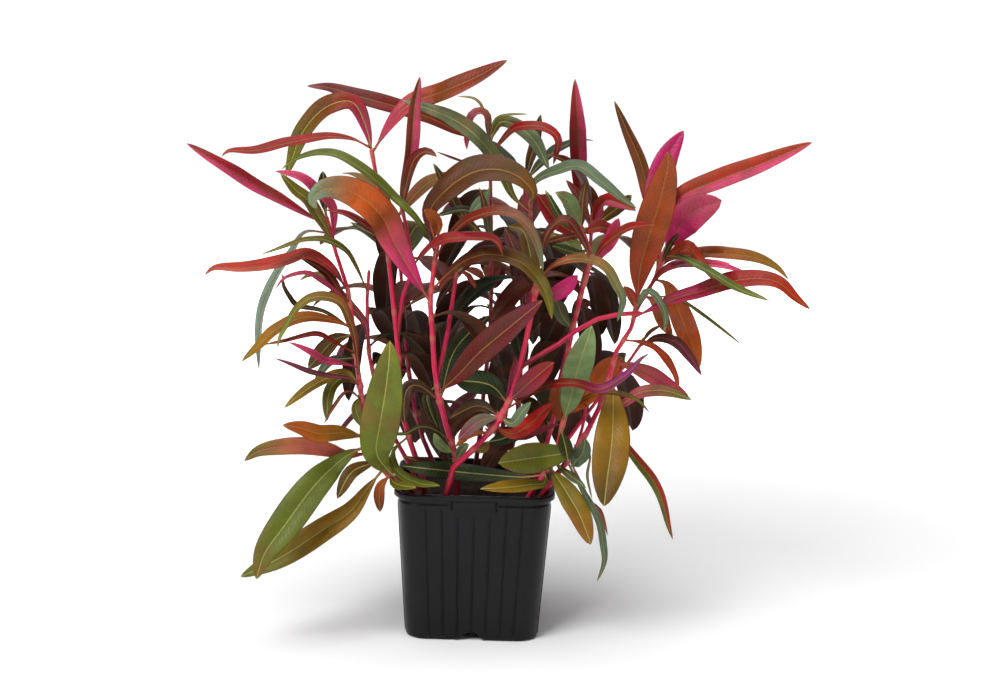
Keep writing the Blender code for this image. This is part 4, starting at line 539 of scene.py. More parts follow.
# Short leaves that fill the inside of the bush: stem, lowest and highest share of its length, how many
FILLS = (
    ("stem_back_centre", 0.2, 0.9, 14),
    ("stem_back_tall", 0.2, 0.85, 12),
    ("stem_right_inner", 0.2, 0.9, 9),
    ("stem_left_inner", 0.2, 0.9, 7),
    ("stem_far_right", 0.2, 0.85, 9),
    ("stem_back_left", 0.15, 0.85, 8),
    ("stem_back_right", 0.15, 0.85, 8),
    ("stem_rosette_right", 0.3, 0.95, 4),
    ("stem_centre_left_shoot", 0.3, 0.9, 3),
    ("stem_tall_left", 0.2, 0.85, 4),
    ("stem_centre_left", 0.15, 0.75, 3),
)
FILL_SEED = 7
FILL_TRIES = 400
FILL_ROOM = 3.3
FILL_ABOVE_SOIL = 9.0
KIN_REACH = 11.0
OWN_STEM_REACH = 16.0
FILL_LENGTHS = (40.0, 60.0)
FILL_WIDTHS = (14.0, 21.0)
FILL_RISES = (0.0, 0.5)
FILL_DROOPS = (0.2, 1.2)
FILL_SHOWN = 0.4
FILL_NEAREST = -12.0
FILL_FORWARD = 3.0
FILL_MIDDLE = (490.0, 330.0)
FILL_REACH = (175.0, 175.0)
# Painted shade: the colours of the hidden side's leaves are scaled down, and those of the short inside leaves
# much further, for the shade inside the bush
PAIR_PAINTED_SHADE = 0.72
FILL_PAINTED_SHADE = 0.36
FILL_TONES = ("dark_green", "dark_red", "olive_brown", "red_brown", "dark_green>olive", "crimson",
              "dark_brown")

SIGHT = np.array((0.0, math.cos(VIEW_PITCH), -math.sin(VIEW_PITCH)))
UP_PLAIN = np.array((0.0, math.sin(VIEW_PITCH), math.cos(VIEW_PITCH)))
SIDE_PLAIN = np.array((1.0, 0.0, 0.0))
VIEW_RIGHT = math.cos(VIEW_ROLL) * SIDE_PLAIN + math.sin(VIEW_ROLL) * UP_PLAIN
VIEW_UP = math.cos(VIEW_ROLL) * UP_PLAIN - math.sin(VIEW_ROLL) * SIDE_PLAIN


def place(pixels, depths):
    """Points in millimetres seen at these pixels and lying at these depths."""
    pixels = np.asarray(pixels, float)
    depths = np.asarray(depths, float)
    across = (pixels[:, 0] - VIEW_MIDDLE[0]) / VIEW_FOCAL
    above = (VIEW_MIDDLE[1] - pixels[:, 1]) / VIEW_FOCAL
    rays = SIGHT + across[:, None] * VIEW_RIGHT + above[:, None] * VIEW_UP
    reach = (depths - VIEW_POINT[1]) / rays[:, 1]
    return np.array(VIEW_POINT) + rays * reach[:, None]


def seen(points):
    """Pixels at which points in millimetres are seen, with their depths."""
    away = np.asarray(points, float) - np.array(VIEW_POINT)
    reach = away @ SIGHT
    across = VIEW_MIDDLE[0] + VIEW_FOCAL * (away @ VIEW_RIGHT) / reach
    down = VIEW_MIDDLE[1] - VIEW_FOCAL * (away @ VIEW_UP) / reach
    return np.stack((across, down), axis=1), np.asarray(points, float)[:, 1]


def smooth_line(points, count):
    """Evenly spaced points on a smooth line through the given ones."""
    points = np.asarray(points, float)
    ends = (2 * points[0] - points[1], 2 * points[-1] - points[-2])
    padded = np.vstack((ends[0], points, ends[1]))
    dense = []
    steps = np.linspace(0.0, 1.0, 13)[:-1]
    for index in range(1, len(padded) - 2):
        before, start, stop, after = padded[index - 1:index + 3]
        for t in steps:
            dense.append(0.5 * (2 * start + (stop - before) * t
                                + (2 * before - 5 * start + 4 * stop - after) * t ** 2
                                + (3 * start - before - 3 * stop + after) * t ** 3))
    dense.append(points[-1])
    return even_line(np.array(dense), np.linspace(0.0, 1.0, count))


def even_line(line, shares):
    """Points of a line at the given shares of its length."""
    steps = np.linalg.norm(np.diff(line, axis=0), axis=1)
    reach = np.concatenate(((0.0,), np.cumsum(steps)))
    wanted = np.asarray(shares) * reach[-1]
    return np.stack([np.interp(wanted, reach, line[:, axis]) for axis in range(line.shape[1])], axis=1)


def stem_lines():
    """For every stem its line of points in millimetres and its radii."""
    lines = {}
    for name, parent, root, radii, depths, path in STEMS:
        path = np.asarray(path, float)
        shares = np.linspace(0.0, 1.0, len(path))
        depth = depths[0] + (depths[1] - depths[0]) * shares
        points = place(path, depth)
        if parent:
            trunk = lines[parent][0]
            nearest = np.argmin(np.linalg.norm(seen(trunk)[0] - path[0], axis=1))
            points[0] = trunk[nearest]
        else:
            below = np.array(((root[0], root[1], SOIL_TOP - ROOT_DEPTH), (root[0], root[1], SOIL_CROWN)))
            points = np.vstack((below, points))
        corners = smooth_line(points, STEM_CORNERS if not parent else SHOOT_CORNERS)
        line = even_line(corners, np.linspace(0.0, 1.0, STEM_STEPS * (len(corners) - 1) + 1))
        lines[name] = (line, radii[0] + (radii[1] - radii[0]) * np.linspace(0.0, 1.0, len(line)))
    return lines


class Leaf:
    """One leaf: where it is seen, how deep it lies and how its blade is turned."""

    def __init__(self, own, stem, width, turn, fold, middle, tip, tone, path, lines, nearest):
        self.own = own
        self.stem = stem
        self.tone = tone
        self.turn = math.radians(turn)
        self.fold = math.radians(fold)
        shrink = math.cos(self.turn) * math.cos(self.fold)
        self.half = 0.5 * width / PIXELS_PER_MM / shrink
        self.natural = False
        # No painted shade on the leaves that are seen
        self.painted_shade_gain = 1.0
        trunk = lines[stem][0]
        trunk_seen = seen(trunk)[0]
        path = np.vstack((trunk_seen[nearest], np.asarray(path[1:], float)))
        flat = smooth_line(path, 41)
        length = np.sum(np.linalg.norm(np.diff(flat, axis=0), axis=1))
        self.count = max(7, int(length / 4.0) + 1)
        self.pixels = even_line(flat, np.linspace(0.0, 1.0, self.count))
        base = trunk[nearest][1]
        middle = base + (middle - base) * FAN_MIDDLE
        tip = base + (tip - base) * FAN_TIP
        shares = np.linspace(0.0, 1.0, self.count)
        bend = 4.0 * middle - 2.0 * (base + tip)
        self.depths = base + shares * (tip - base) + bend * shares * (1.0 - shares)
        self.length = length / PIXELS_PER_MM


class PairLeaf(Leaf):
    """A leaf of the hidden side, grown from its stem by direction, rise and droop."""

    def __init__(self, stem, share, compass, length, width, rise, droop, tone, lines):
        self.own = ""
        self.stem = stem
        self.tone = tone
        self.turn = 0.0
        self.fold = math.radians(10.0)
        self.half = 0.5 * width
        self.natural = True
        # Painted shade: darker for lying at the back of the bush
        self.painted_shade_gain = PAIR_PAINTED_SHADE
        trunk = lines[stem][0]
        base = trunk[int(round(share * (len(trunk) - 1)))]
        aim = math.radians(compass)
        out = np.array((math.cos(aim), math.sin(aim), 0.0))
        shares = np.linspace(0.0, 1.0, 25)[:, None]
        lift = (rise + EXTRA_RISE) * shares - (droop + EXTRA_DROOP) * shares ** 2
        arc = length * (out * shares * PAIR_REACH + np.array((0.0, 0.0, 1.0)) * lift)
        self.count = max(7, int(length / 2.5) + 1)
        points = even_line(base + arc, np.linspace(0.0, 1.0, self.count))
        self.pixels, self.depths = seen(points)
        self.length = length


def attachments(lines):
    """Where each leaf joins its stem: the nearest spot, moved down where a leaf of its own needs room."""
    spots = {}
    for stem, (line, radii) in lines.items():
        step = np.linalg.norm(line[1] - line[0])
        room = int(math.ceil(LEAF_SPACING / step))
        shown = seen(line)[0]
        rows = [index for index, row in enumerate(LEAVES) if row[1] == stem]
        wish = {}
        for index in rows:
            start = np.asarray(LEAVES[index][8][0], float)
            wish[index] = int(np.argmin(np.linalg.norm(shown - start, axis=1)))
        taken = []
        for index in sorted(rows, key=lambda row: -wish[row]):
            spot = wish[index]
            own = bool(LEAVES[index][0])
            moved = True
            while moved:
                moved = False
                for other, other_own in taken:
                    if abs(other - spot) < room and (own or other_own):
                        spot = other - room
                        moved = True
            spot = max(spot, 1)
            taken.append((spot, own))
            spots[index] = spot
    return spots


def all_leaves(lines):
    spots = attachments(lines)
    leaves = [Leaf(*row, lines, spots[index]) for index, row in enumerate(LEAVES)]
    for stem, share, compass, length, width, rise, droop, tone in PAIRS:
        leaves.append(PairLeaf(stem, share, compass, length, width, rise, droop, tone, lines))
        leaves.append(PairLeaf(stem, share, 180.0 - compass + (PAIR_SKEW if compass > 60 else 0.0),
                               length * PAIR_SMALLER, width, rise, droop, tone, lines))
    return leaves


def blade_profile(shares):
    """Half width of a blade as a share of its greatest, from base to tip."""
    shares = np.clip((np.asarray(shares) - BLADE_START) / (1.0 - BLADE_START), 0.0, 1.0)
    widest = BLADE_BASE_POWER / (BLADE_BASE_POWER + BLADE_TIP_POWER)
    most = widest ** BLADE_BASE_POWER * (1.0 - widest) ** BLADE_TIP_POWER
    return shares ** BLADE_BASE_POWER * (1.0 - shares) ** BLADE_TIP_POWER / most


def settle(leaves, lines):
    """Shift depths so that leaves crossing in the view pass clear of each other and of the stems."""
    spots = []
    depth = []
    wide = []
    deep = []
    owner = []
    free = []
    stem_of = []
    names = list(lines)
    for index, leaf in enumerate(leaves):
        shares = np.linspace(0.0, 1.0, leaf.count)
        half = np.maximum(leaf.half * blade_profile(shares), PETIOLE_HALF_WIDTH)
        turned = abs(math.sin(leaf.turn)) if not leaf.natural else NATURAL_DEPTH
        level = abs(math.cos(leaf.turn)) if not leaf.natural else NATURAL_WIDTH
        spots.append(leaf.pixels)
        depth.append(leaf.depths)
        wide.append((half * level + EDGE_ROOM) * PIXELS_PER_MM)
        deep.append(half * (turned + FOLD_ROOM) + LEAST_ROOM)
        owner.append(np.full(leaf.count, index))
        steps = np.linalg.norm(leaf.pixels - leaf.pixels[0], axis=1)
        free.append(np.clip(steps / FREE_AFTER, 0.0, 1.0))
        stem_of.append(np.full(leaf.count, names.index(leaf.stem)))
    for order, name in enumerate(names):
        line, radii = lines[name]
        pixels, depths = seen(line)
        spots.append(pixels)
        depth.append(depths)
        wide.append((radii + EDGE_ROOM) * PIXELS_PER_MM)
        deep.append(radii + EDGE_ROOM)
        owner.append(np.full(len(line), len(leaves) + order))
        free.append(np.zeros(len(line)))
        stem_of.append(np.full(len(line), order))
    spots, depth, wide, deep = map(np.concatenate, (spots, depth, wide, deep))
    owner, free, stem_of = map(np.concatenate, (owner, free, stem_of))
    first = []
    second = []
    starts = np.concatenate(((0,), np.cumsum([leaf.count for leaf in leaves])))
    for index, leaf in enumerate(leaves):
        mine = np.arange(starts[index], starts[index + 1])
        rest = np.arange(starts[index + 1], len(depth))
        apart = np.linalg.norm(spots[mine][:, None] - spots[rest][None], axis=2)
        close = apart < wide[mine][:, None] + wide[rest][None]
        kin = stem_of[mine][:, None] == stem_of[rest][None]
        close &= ~(kin & (free[mine][:, None] < 0.5) & (free[rest][None] < 0.5))
        one, other = np.nonzero(close)
        first.append(mine[one])
        second.append(rest[other])
    first, second = np.concatenate(first), np.concatenate(second)
    pair = owner[first] * 1000 + owner[second]
    keys, where = np.unique(pair, return_inverse=True)
    lead = np.bincount(where, depth[second] - depth[first]) / np.bincount(where)
    sign = np.where(lead >= 0.0, 1.0, -1.0)[where]
    need = deep[first] + deep[second]
    reach = np.zeros(len(depth))
    reach[1:] = np.linalg.norm(np.diff(spots, axis=0), axis=1) / PIXELS_PER_MM
    longest = max(leaf.count for leaf in leaves)
    for _ in range(SETTLE_ROUNDS):
        short = need - sign * (depth[second] - depth[first])
        short = np.where(short > 0.0, short, 0.0)
        share = free[first] + free[second]
        share = np.where(share > 0.0, share, 1.0)
        ahead = np.zeros(len(depth))
        behind = np.zeros(len(depth))
        move_first = -sign * short * free[first] / share
        move_second = sign * short * free[second] / share
        for target, move in ((first, move_first), (second, move_second)):
            np.maximum.at(ahead, target, np.maximum(move, 0.0))
            np.minimum.at(behind, target, np.minimum(move, 0.0))
        change = SETTLE_SHARE * (ahead + behind)
        for index in range(len(leaves)):
            part = change[starts[index]:starts[index + 1]].copy()
            for _ in range(3):
                part[1:-1] = 0.25 * part[:-2] + 0.5 * part[1:-1] + 0.25 * part[2:]
                part[-1] = 0.5 * part[-1] + 0.5 * part[-2]
                part[0] = 0.0
            change[starts[index]:starts[index + 1]] = part
        depth = depth + change
        for step in range(1, longest):
            late = starts[:-1] + step
            late = late[late < starts[1:]]
            limit = STEEPEST * reach[late]
            depth[late] = np.clip(depth[late], depth[late - 1] - limit, depth[late - 1] + limit)
    for index, leaf in enumerate(leaves):
        leaf.depths = depth[starts[index]:starts[index + 1]]


def blade_spots(leaf):
    """Points spread over a blade, about two millimetres apart."""
    points, upper, sides, half = leaf_frames(leaf, np.linspace(0.0, 1.0, 25))
    spots = []
    for share in (-1.0, -0.66, -0.33, 0.0, 0.33, 0.66, 1.0):
        reach = half * math.cos(leaf.fold) * share
        lift = half * math.sin(leaf.fold) * abs(share)
        spots.append(points + sides * reach[:, None] + upper * lift[:, None])
    return np.concatenate(spots)


def fill_inside(leaves, lines):
    """Add short leaves inside the bush, each where it stays clear of all that is already there."""
    rng = np.random.default_rng(FILL_SEED)
    taken = [blade_spots(leaf) for leaf in leaves]
    owners = [leaf.stem for leaf, spots in zip(leaves, taken) for _ in spots]
    for name, (line, radii) in lines.items():
        taken.append(line)
        owners += [name + " itself"] * len(line)
    tree = spot_tree(taken)
    for stem, low, high, number in FILLS:
        grown = 0
        for _ in range(FILL_TRIES):
            if grown == number:
                break
            share, compass = rng.uniform(low, high), rng.uniform(-180.0, 180.0)
            length, width = rng.uniform(*FILL_LENGTHS), rng.uniform(*FILL_WIDTHS)
            rise, droop = rng.uniform(*FILL_RISES), rng.uniform(*FILL_DROOPS)
            tone = FILL_TONES[len(leaves) % len(FILL_TONES)]
            leaf = PairLeaf(stem, share, compass, length, width, rise, droop, tone, lines)
            # Painted shade: darker for lying deep inside the bush
            leaf.painted_shade_gain = FILL_PAINTED_SHADE
            upper = leaf_frames(leaf, np.array((0.35, 0.55, 0.75)))[1]
            nearest = min(leaf.depths[0] - FILL_FORWARD, FILL_NEAREST)
            if abs(np.mean(upper @ SIGHT)) < FILL_SHOWN or np.min(leaf.depths) < nearest:
                continue
            off = (leaf.pixels - FILL_MIDDLE) / FILL_REACH
            spots = blade_spots(leaf)
            if (np.max(np.linalg.norm(off, axis=1)) > 1.0
                    or np.min(spots[:, 2]) < SOIL_CROWN + FILL_ABOVE_SOIL):
                continue
            if is_clear(tree, owners, spots, stem):
                leaves.append(leaf)
                taken.append(spots)
                owners += [stem] * len(spots)
                tree = spot_tree(taken)
                grown += 1


def spot_tree(taken):
    points = np.concatenate(taken)
    tree = KDTree(len(points))
    for index, point in enumerate(points):
        tree.insert(point, index)
    tree.balance()
    return tree


def is_clear(tree, owners, spots, stem):
    """Whether a blade keeps its room from all other blades and stems, apart from its own stem at its base."""
    for spot in spots:
        near_base = np.linalg.norm(spot - spots[0])
        for _, index, apart in tree.find_range(spot, FILL_ROOM):
            kin = owners[index] == stem and near_base < KIN_REACH
            if not kin and not (owners[index] == stem + " itself" and near_base < OWN_STEM_REACH):
                return False
    return True


def leaf_frames(leaf, shares):
    """Middle points, upward normals and side directions of a blade, with its half widths."""
    line = place(leaf.pixels, leaf.depths)
    points = even_line(line, shares)
    dense = even_line(line, np.linspace(0.0, 1.0, 81))
    spans = np.gradient(dense, axis=0)
    runs = np.stack([np.interp(shares, np.linspace(0.0, 1.0, 81), spans[:, axis])
                     for axis in range(3)], axis=1)
    runs /= np.linalg.norm(runs, axis=1)[:, None]
    upper = []
    sides = []
    way = growth_sign(dense, spans)
    for point, run in zip(points, runs):
        if leaf.natural:
            normal = growth_side(point, run)
            normal = normal - run * (normal @ run)
        else:
            facing = -SIGHT + run * (SIGHT @ run)
            facing /= np.linalg.norm(facing)
            normal = math.cos(leaf.turn) * facing + math.sin(leaf.turn) * way * np.cross(run, facing)
        normal = normal / np.linalg.norm(normal)
        upper.append(normal)
        sides.append(np.cross(normal, run))
    half = leaf.half * blade_profile(shares)
    return points, np.array(upper), np.array(sides), half


def growth_side(point, run):
    """The side a blade's upper face grows toward: up, and outward where the blade hangs."""
    out = np.array((point[0], point[1] - PLANT_MIDDLE, 0.0))
    out /= max(np.linalg.norm(out), 1.0)
    return np.array((0.0, 0.0, 1.0)) - HANG_TURN * run[2] * out


def growth_sign(line, spans):
    """Which way round the blade turns in the view so that its upper face looks the way it grows."""
    total = 0.0
    for point, span in zip(line[::4], spans[::4]):
        run = span / np.linalg.norm(span)
        total += growth_side(point, run) @ np.cross(run, -SIGHT)
    return 1.0 if total >= 0.0 else -1.0


def linear(colour):
    """A colour given up to 255 as the linear values that a shader takes."""
    shares = np.asarray(colour, float) / 255.0
    light = TONE_GAIN * np.where(shares <= 0.04045, shares / 12.92, ((shares + 0.055) / 1.055) ** 2.4)
    return np.maximum(light + TONE_RICHNESS * (light - light.mean()), LEAST_TONE)


def tone_line(stops, shares):
    """Colours along a blade, blended from its first stop at the base to its last at the tip."""
    colours = np.array([linear(TONES[stop]) for stop in stops])
    spots = np.linspace(0.12, 0.9, len(stops)) if len(stops) > 1 else np.zeros(1)
    return np.stack([np.interp(shares, spots, colours[:, channel]) for channel in range(3)], axis=1)


class Skin:
    """Points, faces and point values of a mesh that is put together from closed shells."""

    def __init__(self):
        self.points = []
        self.faces = []
        self.slots = []
        self.tone = []
        self.rib = []
        self.spot = []
        self.trait = []
        self.count = 0

    def add_tube(self, rings, slot, tone, rib, spot, trait):
        """Add a closed shell lofted through equal rings of points, with values for each point."""
        rings = np.asarray(rings, float)
        rows, around = rings.shape[:2]
        first = self.count
        self.points.append(rings.reshape(-1, 3))
        for values, target in ((tone, self.tone), (rib, self.rib), (spot, self.spot), (trait, self.trait)):
            target.append(np.broadcast_to(values, (rows, around, 3)).reshape(-1, 3))
        for row in range(rows - 1):
            for step in range(around):
                other = (step + 1) % around
                low = first + row * around
                high = low + around
                self.faces.append((low + step, low + other, high + other, high + step))
                self.slots.append(slot)
        self.faces.append(tuple(range(first + around - 1, first - 1, -1)))
        self.faces.append(tuple(range(first + (rows - 1) * around, first + rows * around)))
        self.slots += [slot, slot]
        self.count += rows * around

    def make(self, name, materials):
        data = bpy.data.meshes.new(name)
        data.from_pydata(np.concatenate(self.points) * MM, [], self.faces)
        for material in materials:
            data.materials.append(material)
        data.polygons.foreach_set("material_index", self.slots)
        data.polygons.foreach_set("use_smooth", [True] * len(self.faces))
        for label, values in (("tone", self.tone), ("rib", self.rib),
                              ("spot", self.spot), ("trait", self.trait)):
            layer = data.attributes.new(label, "FLOAT_VECTOR", "POINT")
            layer.data.foreach_set("vector", np.concatenate(values).astype(np.float32).ravel())
        mesh = bmesh.new()
        mesh.from_mesh(data)
        bmesh.ops.recalc_face_normals(mesh, faces=mesh.faces)
        mesh.to_mesh(data)
        mesh.free()
        data.update()
        obj = bpy.data.objects.new(name, data)
        bpy.context.scene.collection.objects.link(obj)
        return obj


def blade_colours(leaf, shares, rng):
    """The colours of both halves of the shown side, of the other side, and of the midrib."""
    halves = leaf.tone.split("|")
    stops = [half.split(">") for half in halves]
    # A random change of tone, times the leaf's painted shade
    light = rng.uniform(0.86, 1.16) * leaf.painted_shade_gain
    # A pink second half is painted sheen on the half that catches the light
    shown = [tone_line(one, shares) * light for one in (stops[0], stops[-1])]
    mix = np.clip(np.array([sum(stop in GREEN_TONES for stop in one) / len(one)
                            for one in stops]).mean(), 0, 1)
    lead = stops[0][len(stops[0]) // 2]
    if leaf.painted_shade_gain == FILL_PAINTED_SHADE:
        back, rib = BACK_INSIDE, RIB_ON_GREEN
    elif lead in GREEN_TONES:
        back, rib = BACK_OF_GREEN, RIB_ON_GREEN
    elif TONES[lead][2] > 0.3 * TONES[lead][0]:
        back, rib = BACK_OF_RED, RIB_ON_RED
    else:
        back, rib = BACK_OF_WARM, RIB_ON_WARM
    # The other side and the midrib take the same painted shade
    back = linear(back) * rng.uniform(0.85, 1.15) * leaf.painted_shade_gain
    rib = linear(rib) * (0.55 + 0.45 * mix) * light
    return shown, np.tile(back, (len(shares), 1)), rib


def add_blade(skin, leaf, order, slot):
    """One leaf: a thin closed shell with a midrib, a groove above it and gently waved margins."""
    rng = np.random.default_rng(500 + order)
    count = max(FEWEST_RINGS, int(leaf.length / RING_SPACING))
    shares = np.linspace(0.0, 1.0, count) ** 1.0
    shares[-1] = 0.995
    points, upper, sides, half = leaf_frames(leaf, shares)
    ease = np.clip(shares / PETIOLE_UNTIL, 0.0, 1.0)
    ease = ease * ease * (3.0 - 2.0 * ease)
    half = np.maximum(half, PETIOLE_HALF_WIDTH * (1.0 - 0.8 * shares))
    half[-1] = TIP_WIDTH
    columns = np.array(COLUMNS)
    waves = rng.uniform(1.5, 3.5, 2)
    phases = rng.uniform(0.0, 2.0 * math.pi, 2)
    wave = rng.uniform(0.03, 0.09)
    wide = columns[None, :] * half[:, None]
    level = np.abs(columns)[None, :]
    side = (columns > 0).astype(int)
    ripple = np.sin(2.0 * math.pi * waves[side][None, :] * shares[:, None] + phases[side][None, :])
    ends = np.sin(math.pi * np.clip(shares, 0.0, 1.0))[:, None]
    lift = half[:, None] * (math.sin(leaf.fold) * level + BLADE_BULGE * np.sin(math.pi * level)
                            + wave * ripple * level ** 2 * ends) * ease[:, None]
    rib = np.exp(-(wide / MIDRIB_WIDTH) ** 2) * (1.0 - 0.85 * shares[:, None])
    blade_top = BLADE_THICKNESS * np.sqrt(1.0 - level ** 4) - MIDRIB_GROOVE * rib
    blade_low = BLADE_THICKNESS * np.sqrt(1.0 - level ** 4) + MIDRIB_KEEL * rib
    stalk = PETIOLE_THICKNESS * np.sqrt(1.0 - level ** 2)
    taper = np.clip((1.0 - shares) / 0.06, 0.35, 1.0)[:, None]
    top = (stalk * (1.0 - ease[:, None]) + blade_top * ease[:, None]) * taper
    low = (stalk * (1.0 - ease[:, None]) + blade_low * ease[:, None]) * taper
    middle = points[:, None, :] + sides[:, None, :] * (wide * math.cos(leaf.fold))[:, :, None]
    above = middle + upper[:, None, :] * (lift + top)[:, :, None]
    below = middle + upper[:, None, :] * (lift - low)[:, :, None]
    rings = np.concatenate((above, below[:, -2:0:-1]), axis=1)
    shown, back, rib_tone = blade_colours(leaf, shares, rng)
    left = np.clip(0.5 + 3.0 * columns, 0.0, 1.0)[None, :, None]
    # Left and right halves in their own tones; a pink half is painted sheen
    upper_tone = shown[0][:, None, :] * left + shown[1][:, None, :] * (1.0 - left)
    edge = (np.abs(columns) > 0.97).astype(float)[None, :, None] * 0.5
    upper_tone = upper_tone * (1.0 - edge) + linear(MARGIN_TONE) * edge
    stalk_tone = linear(STEM_TOP) * rng.uniform(0.6, 1.0)
    lower_tone = np.repeat(back[:, None, :], len(columns) - 2, axis=1)
    tone = np.concatenate((upper_tone, lower_tone), axis=1)
    near = (1.0 - ease)[:, None, None]
    tone = tone * (1.0 - near) + stalk_tone * near
    around = np.concatenate((columns, columns[-2:0:-1]))
    spot = np.zeros((count, len(around), 3))
    spot[:, :, 0] = shares[:, None] * leaf.length
    spot[:, :, 1] = around[None, :] * half[:, None]
    spot[:, :, 2] = around[None, :]
    trait = np.zeros((count, len(around), 3))
    trait[:, len(columns):, 1] = 1.0
    skin.add_tube(rings, slot, tone, rib_tone, spot, trait)


def add_stem(skin, line, radii, joints, order, slot, painted_shade_gain):
    """A stem as a round shell that swells at the joints where leaves grow."""
    steps = np.linalg.norm(np.diff(line, axis=0), axis=1)
    length = steps.sum()
    count = max(8, int(length / STEM_SPACING))
    shares = np.linspace(0.0, 1.0, count)
    points = even_line(line, shares)
    sizes = np.interp(shares, np.linspace(0.0, 1.0, len(radii)), radii)
    for joint in joints:
        apart = np.linalg.norm(points - joint, axis=1)
        sizes = sizes * (1.0 + NODE_SWELLING * np.exp(-(apart / NODE_REACH) ** 2))
    runs = np.gradient(points, axis=0)
    runs /= np.linalg.norm(runs, axis=1)[:, None]
    side = np.cross(runs[0], (0.0, 1.0, 0.0))
    rings = []
    angles = np.linspace(0.0, 2.0 * math.pi, STEM_SIDES, endpoint=False)
    for row in range(count):
        side = side - runs[row] * (side @ runs[row])
        side /= np.linalg.norm(side)
        beside = np.cross(runs[row], side)
        size = sizes[row] * (1.0 + 0.05 * np.cos(4.0 * angles))
        if row == count - 1:
            size = size * 0.5
        rings.append(points[row] + (np.cos(angles) * size)[:, None] * side
                     + (np.sin(angles) * size)[:, None] * beside)
    # Colours from foot to top, darkened by the painted shade of stems at the back
    colours = np.array([linear(STEM_FOOT), linear(STEM_MIDDLE), linear(STEM_TOP)]) * painted_shade_gain
    tone = np.stack([np.interp(shares, (0.08, 0.42, 1.0), colours[:, channel])
                     for channel in range(3)], axis=1)
    spot = np.zeros((count, STEM_SIDES, 3))
    spot[:, :, 0] = shares[:, None] * length
    spot[:, :, 1] = np.sin(angles)[None, :]
    spot[:, :, 2] = np.cos(angles)[None, :]
    joint_share = np.zeros(count)
    for joint in joints:
        apart = np.linalg.norm(points - joint, axis=1)
        joint_share = np.maximum(joint_share, np.exp(-(apart / (0.8 * NODE_REACH)) ** 2))
    trait = np.zeros((count, STEM_SIDES, 3))
    trait[:, :, 0] = joint_share[:, None]
    skin.add_tube(rings, slot, tone[:, None, :], tone[:, None, :], spot, trait)


def add_bud(skin, base, aim, order, slot):
    """A small pointed side bud in the fork of a leaf."""
    rng = np.random.default_rng(900 + order)
    aim = aim / np.linalg.norm(aim)
    side = np.cross(aim, (0.2, 1.0, 0.1))
    side /= np.linalg.norm(side)
    beside = np.cross(aim, side)
    shares = np.linspace(0.0, 1.0, 8)
    length = BUD_LENGTH * rng.uniform(0.7, 1.2)
    size = BUD_WIDTH * np.sqrt(np.maximum(1.0 - (1.6 * shares - 0.6) ** 2, 0.0)) * (1.0 - 0.4 * shares) + 0.06
    angles = np.linspace(0.0, 2.0 * math.pi, 10, endpoint=False)
    rings = [base + aim * length * share + (np.cos(angles) * wide)[:, None] * side
             + (0.75 * np.sin(angles) * wide)[:, None] * beside for share, wide in zip(shares, size)]
    tone = linear(BUD_TONE) * rng.uniform(0.6, 1.0)
    skin.add_tube(rings, slot, tone, tone, 0.0, 0.0)


def attribute(tree, name, place):
    node = tree.nodes.new("ShaderNodeAttribute")
    node.attribute_name = name
    node.location = place
    return node


def math_node(tree, operation, first, second=None, third=None):
    node = tree.nodes.new("ShaderNodeMath")
    node.operation = operation
    for socket, value in zip(node.inputs, (first, second, third)):
        if value is None:
            continue
        if isinstance(value, (int, float)):
            socket.default_value = value
        else:
            tree.links.new(value, socket)
    return node.outputs[0]


def remap(tree, value, low, high, new_low=0.0, new_high=1.0):
    node = tree.nodes.new("ShaderNodeMapRange")
    node.interpolation_type = "SMOOTHSTEP"
    tree.links.new(value, node.inputs["Value"])
    for label, number in (("From Min", low), ("From Max", high), ("To Min", new_low), ("To Max", new_high)):
        node.inputs[label].default_value = number
    return node.outputs["Result"]


def blend_colours(tree, factor, first, second, mode="MIX"):
    node = tree.nodes.new("ShaderNodeMix")
    node.data_type = "RGBA"
    node.blend_type = mode
    for socket, value in ((node.inputs[0], factor), (node.inputs[6], first), (node.inputs[7], second)):
        if isinstance(value, (int, float)):
            socket.default_value = value
        elif isinstance(value, tuple):
            socket.default_value = value
        else:
            tree.links.new(value, socket)
    return node.outputs[2]


def texture(tree, kind, scale, vector=None, **settings):
    node = tree.nodes.new(kind)
    node.inputs["Scale"].default_value = scale
    for label, number in settings.items():
        node.inputs[label.replace("_", " ")].default_value = number
    if vector is not None:
        tree.links.new(vector, node.inputs["Vector"])
    return node


def object_vector(tree, kind="Object"):
    return tree.nodes.new("ShaderNodeTexCoord").outputs[kind]


def start_material(name):
    material = bpy.data.materials.new(name)
    material.use_nodes = True
    tree = material.node_tree
    return material, tree, tree.nodes["Principled BSDF"]


def add_bump(tree, shader, height, strength, distance):
    bump = tree.nodes.new("ShaderNodeBump")
    bump.inputs["Strength"].default_value = strength
    bump.inputs["Distance"].default_value = distance
    tree.links.new(height, bump.inputs["Height"])
    tree.links.new(bump.outputs["Normal"], shader.inputs["Normal"])


